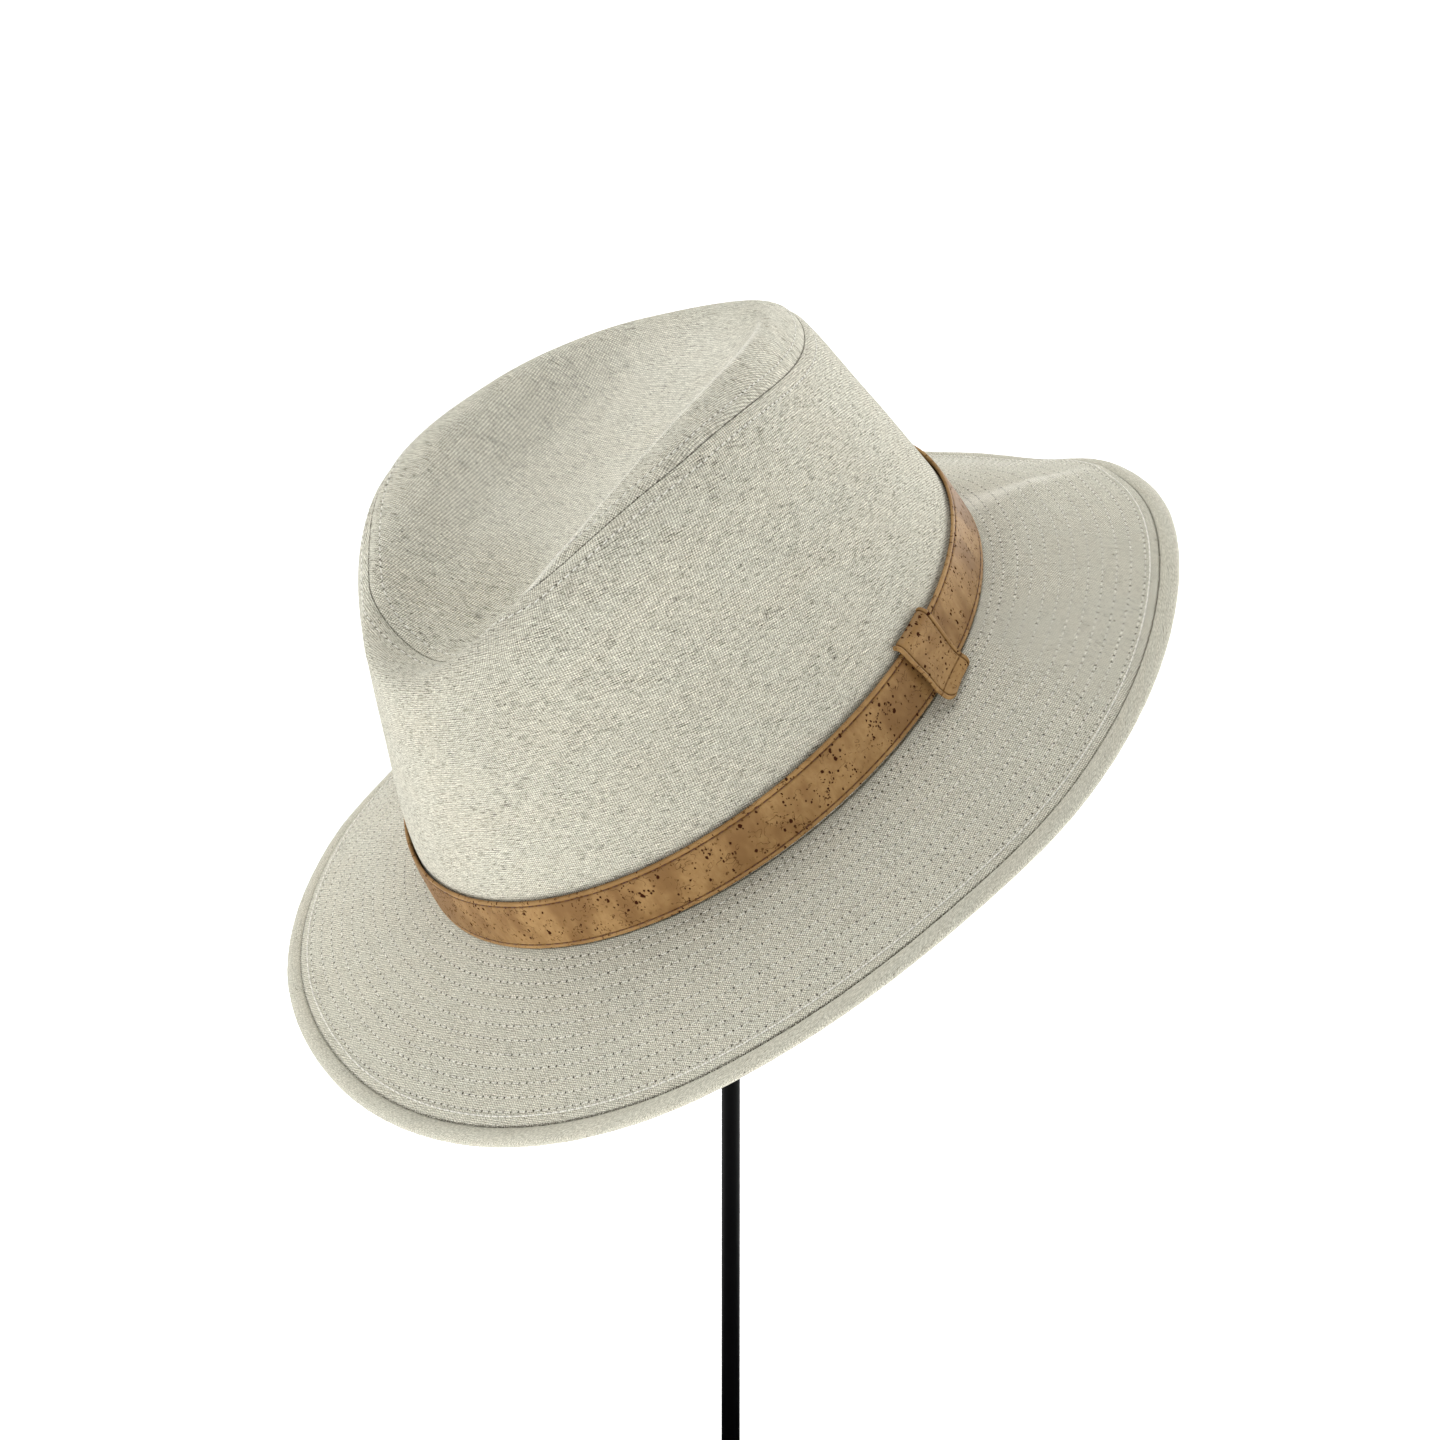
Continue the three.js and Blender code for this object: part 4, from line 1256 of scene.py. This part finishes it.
class SAFARI_OT_keeper(Operator):
    """Make the cork keeper over the band"""
    bl_idname = "safari.keeper"
    bl_label = "Band Keeper"

    def execute(self, context):
        band = settings().band
        # A strip's section is carried along the path over the band. Its width gives the angle round the
        # crown, and the path the height and the distance off it. Its front edge stands off a little at
        # the lower end.
        path = smooth_path(KEEPER_PATH, 90)
        tangent = unit(np.gradient(path, axis=0))
        normal = np.stack((-tangent[:, 1], tangent[:, 0]), -1)
        length = np.append(0, np.cumsum(np.linalg.norm(np.diff(path, axis=0), axis=1)))[:, None]
        half, thick = band.keeper_width / 2, 0.6 * MM
        side = half - np.array(KEEPER_COLUMNS) * MM
        face = np.concatenate((-side, [0], side[::-1]))
        end = half - np.abs(face)
        swell = thick - rolled_edge(end, thick)
        outer = (swell - 0.4 * MM * groove(end - band.seam, 0.3 * MM)
                 + 0.25 * MM * groove(end - 0.75 * MM, 0.45 * MM))
        width = np.concatenate((face, face[-2:0:-3]))
        level = np.concatenate((outer, -swell[-2:0:-3]))
        corner = rolled_edge(length, KEEPER_CORNER) + rolled_edge(length[-1] - length, 1.5 * MM) * 0.6
        share = width / band.keeper_width + 0.5
        tuck = np.clip((path[:, :1] - 9 * MM) / (10 * MM), 0, 1)
        lift = 2.2 * MM * np.clip(1 - share, 0, 1) ** 3 * (1 - tuck) ** 1.5
        height = path[:, :1] + normal[:, :1] * level
        off = path[:, 1:] + normal[:, 1:] * level + lift + 0.05 * MM
        angle = band.keeper_angle + (width * (1 - corner / half) - 0.04 * height) / KEEPER_RADIUS
        points = off_crown(angle, place_at_height(angle, np.maximum(height, -1.9 * MM)), off)
        points[..., 2] += np.minimum(height + 1.9 * MM, 0)
        rows, columns = points.shape[:2]
        faces = grid_faces(rows, columns, closed=False)
        ends = np.stack((np.arange(columns)[::-1], np.arange(columns) + (rows - 1) * columns))
        flat = np.stack(np.broadcast_arrays(length + 0.31, np.append(width, width[0] - MM)), -1)
        inset = np.concatenate((end, end[-2:0:-3] + AWAY, end[:1]))
        # The painted shade across the keeper: distance off its line, read like an inset from an edge.
        fold_shade_inset = np.abs(length - KEEPER_FOLD_SHADE) + band.seam
        inset = np.where(np.abs(inset - band.seam) < np.abs(fold_shade_inset - band.seam), inset, fold_shade_inset)
        edging = np.stack(np.broadcast_arrays(length, inset), -1)
        maps = {"cloth": [grid_corners(flat, False), flat.reshape(-1, 2)[ends + ends // columns]],
                "edge": [grid_corners(edging, False), np.full((*ends.shape, 2), 0.25)]}
        make_piece("band_keeper_cork", placed(points).reshape(-1, 3), [faces, ends],
                   finish_named("cork_skin", cork), "cork", ("band_keeper",), maps)
        return {"FINISHED"}


def lathe(profile, sides):
    """Turns a profile of radius and height round the pole. Its ends are small flat caps."""
    turn = 2 * math.pi * np.arange(sides) / sides
    radius, height = np.array(profile).T[:, :, None]
    points = np.stack(np.broadcast_arrays(radius * np.cos(turn), radius * np.sin(turn), height), -1)
    rows = len(profile)
    caps = np.stack((np.arange(sides)[::-1], np.arange(sides) + (rows - 1) * sides))
    return points.reshape(-1, 3), [grid_faces(rows, sides, closed=False), caps]


def arc(centre, radius, start, end, count):
    """Points of a circular arc: middle plus radius times cosine and sine."""
    turn = np.radians(np.linspace(start, end, count))
    return [(centre[0] + radius * math.cos(t), centre[1] + radius * math.sin(t)) for t in turn]


class SAFARI_OT_stand(Operator):
    """Make the pole with its domed head, and the round base"""
    bl_idname = "safari.stand"
    bl_label = "Stand"

    def execute(self, context):
        stand = settings().stand
        paint = finish_named("black_satin_paint", black_paint)
        # Both are profiles turned round the pole's axis. The neck widens with the square of its length.
        foot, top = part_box("stand_post")[0].z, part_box("stand_post")[1].z
        centre = top - HEAD_RADIUS
        along = np.linspace(0.1, 1, 10)
        neck = centre - (NECK_START - NECK_LENGTH * along) * MM
        profile = [(0.2 * MM, foot), (stand.pole, foot), (stand.pole, centre - NECK_START * MM)]
        profile += zip(stand.pole + along**2 * NECK_FLARE * MM, neck)
        profile += arc((0, centre), HEAD_RADIUS, -55, 89.4, 40)
        make_piece("stand_post_painted", *lathe(profile, 64), paint, "black_paint", ("stand_post",))
        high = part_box("stand_base")[1].z
        edge, floor, socket = 1.5 * MM, high - 3 * MM, stand.pole + 0.3 * MM
        profile = [(0.5 * MM, 0), (stand.base - 0.5 * MM, 0)]
        profile += arc((stand.base - 0.5 * MM, 0.5 * MM), 0.5 * MM, -80, 0, 6)
        profile += arc((stand.base - edge, high - edge), edge, 0, 90, 12)
        profile += [(socket + 0.2 * MM, high), (socket, high - 0.2 * MM)]
        profile += [(socket, floor), (0.5 * MM, floor)]
        make_piece("stand_base_painted", *lathe(profile, 192), paint, "black_paint", ("stand_base",))
        return {"FINISHED"}


# Stage


def area_light(name, place, target, power):
    """A square soft light that faces a point."""
    lamp = bpy.data.lights.new(name, "AREA")
    lamp.shape = "SQUARE"
    lamp.size = LIGHT_SIZE
    lamp.energy = power
    light = bpy.data.objects.new(name, lamp)
    light.location = place
    light.rotation_euler = (target - place).to_track_quat("-Z", "Y").to_euler()
    bpy.context.scene.collection.objects.link(light)


class SAFARI_OT_stage(Operator):
    """Make the camera, the lights, the floor and the backdrop"""
    bl_idname = "safari.stage"
    bl_label = "Stage"

    def execute(self, context):
        stage = settings().stage
        aim = Vector(HAT_PLACE)
        away = Vector((math.sin(stage.azimuth) * math.cos(stage.elevation),
                       -math.cos(stage.azimuth) * math.cos(stage.elevation), math.sin(stage.elevation)))
        right = Vector((math.cos(stage.azimuth), math.sin(stage.azimuth), 0))
        up = Vector((0, 0, 1))
        camera = bpy.data.objects.new("camera", bpy.data.cameras.new("camera"))
        camera.location = aim + away * stage.distance
        camera.rotation_euler = (-away).to_track_quat("-Z", "Y").to_euler()
        camera.data.lens = stage.lens
        camera.data.shift_x, camera.data.shift_y = CAMERA_SHIFT
        camera.data.clip_end = 50
        bpy.context.scene.collection.objects.link(camera)
        bpy.context.scene.camera = camera
        for name, (across, above, beyond, watts) in LIGHTS.items():
            area_light(name, aim + right * across + up * above - away * beyond, aim, watts)
        self.world()
        self.backdrop()
        bpy.context.scene.view_settings.view_transform = "Standard"
        return {"FINISHED"}

    def world(self):
        """A dim even room: the lights and the white backdrop do the rest."""
        world = bpy.data.worlds.new("studio")
        bpy.context.scene.world = world
        world.use_nodes = True
        room = world.node_tree.nodes["Background"]
        room.inputs["Color"].default_value = (1, 1, 1, 1)
        room.inputs["Strength"].default_value = 0.04

    def backdrop(self):
        """A round floor that sweeps up all round into a low wall."""
        profile = np.array([(0.01, 0), (1, 0), (2, 0), (3.2, 0)] + arc((3.2, 1.2), 1.2, -90, 0, 24)[1:])
        lower = profile[::-1] + np.array((0.02, -0.02))
        points, faces = lathe(np.concatenate((profile, lower)), 128)
        points = points - np.array((0, 0, 0.2 * MM))
        make_mesh("floor", points, faces, backdrop_finish("pale_backdrop"))


class SAFARI_PT_panel(Panel):
    """Lists the settings and the pieces in the sidebar"""
    bl_label = "Safari Hat"
    bl_space_type = "VIEW_3D"
    bl_region_type = "UI"
    bl_category = "Safari Hat"

    def draw(self, context):
        for group in ("cloth", "brim", "band", "stand", "stage"):
            box = self.layout.box()
            box.label(text=group.capitalize())
            owner = getattr(context.scene.safari_hat, group)
            for key in owner.__annotations__:
                box.prop(owner, key)
        for step in STEPS:
            self.layout.operator(step.bl_idname)


STEPS = (
    SAFARI_OT_stage, SAFARI_OT_crown_side, SAFARI_OT_crown_tip, SAFARI_OT_crown_stitches, SAFARI_OT_brim,
    SAFARI_OT_brim_stitches, SAFARI_OT_binding, SAFARI_OT_band, SAFARI_OT_keeper, SAFARI_OT_stand,
)
CLASSES = (
    ClothSettings, BrimSettings, BandSettings, StandSettings, StageSettings, HatSettings, *STEPS,
    SAFARI_PT_panel,
)


def register():
    for item in CLASSES:
        bpy.utils.register_class(item)
    bpy.types.Scene.safari_hat = PointerProperty(type=HatSettings)


def unregister():
    del bpy.types.Scene.safari_hat
    for item in reversed(CLASSES):
        bpy.utils.unregister_class(item)


def main():
    """Makes every piece."""
    register()
    for step in STEPS:
        group, name = step.bl_idname.split(".")
        getattr(getattr(bpy.ops, group), name)()


if __name__ == "__main__":
    main()
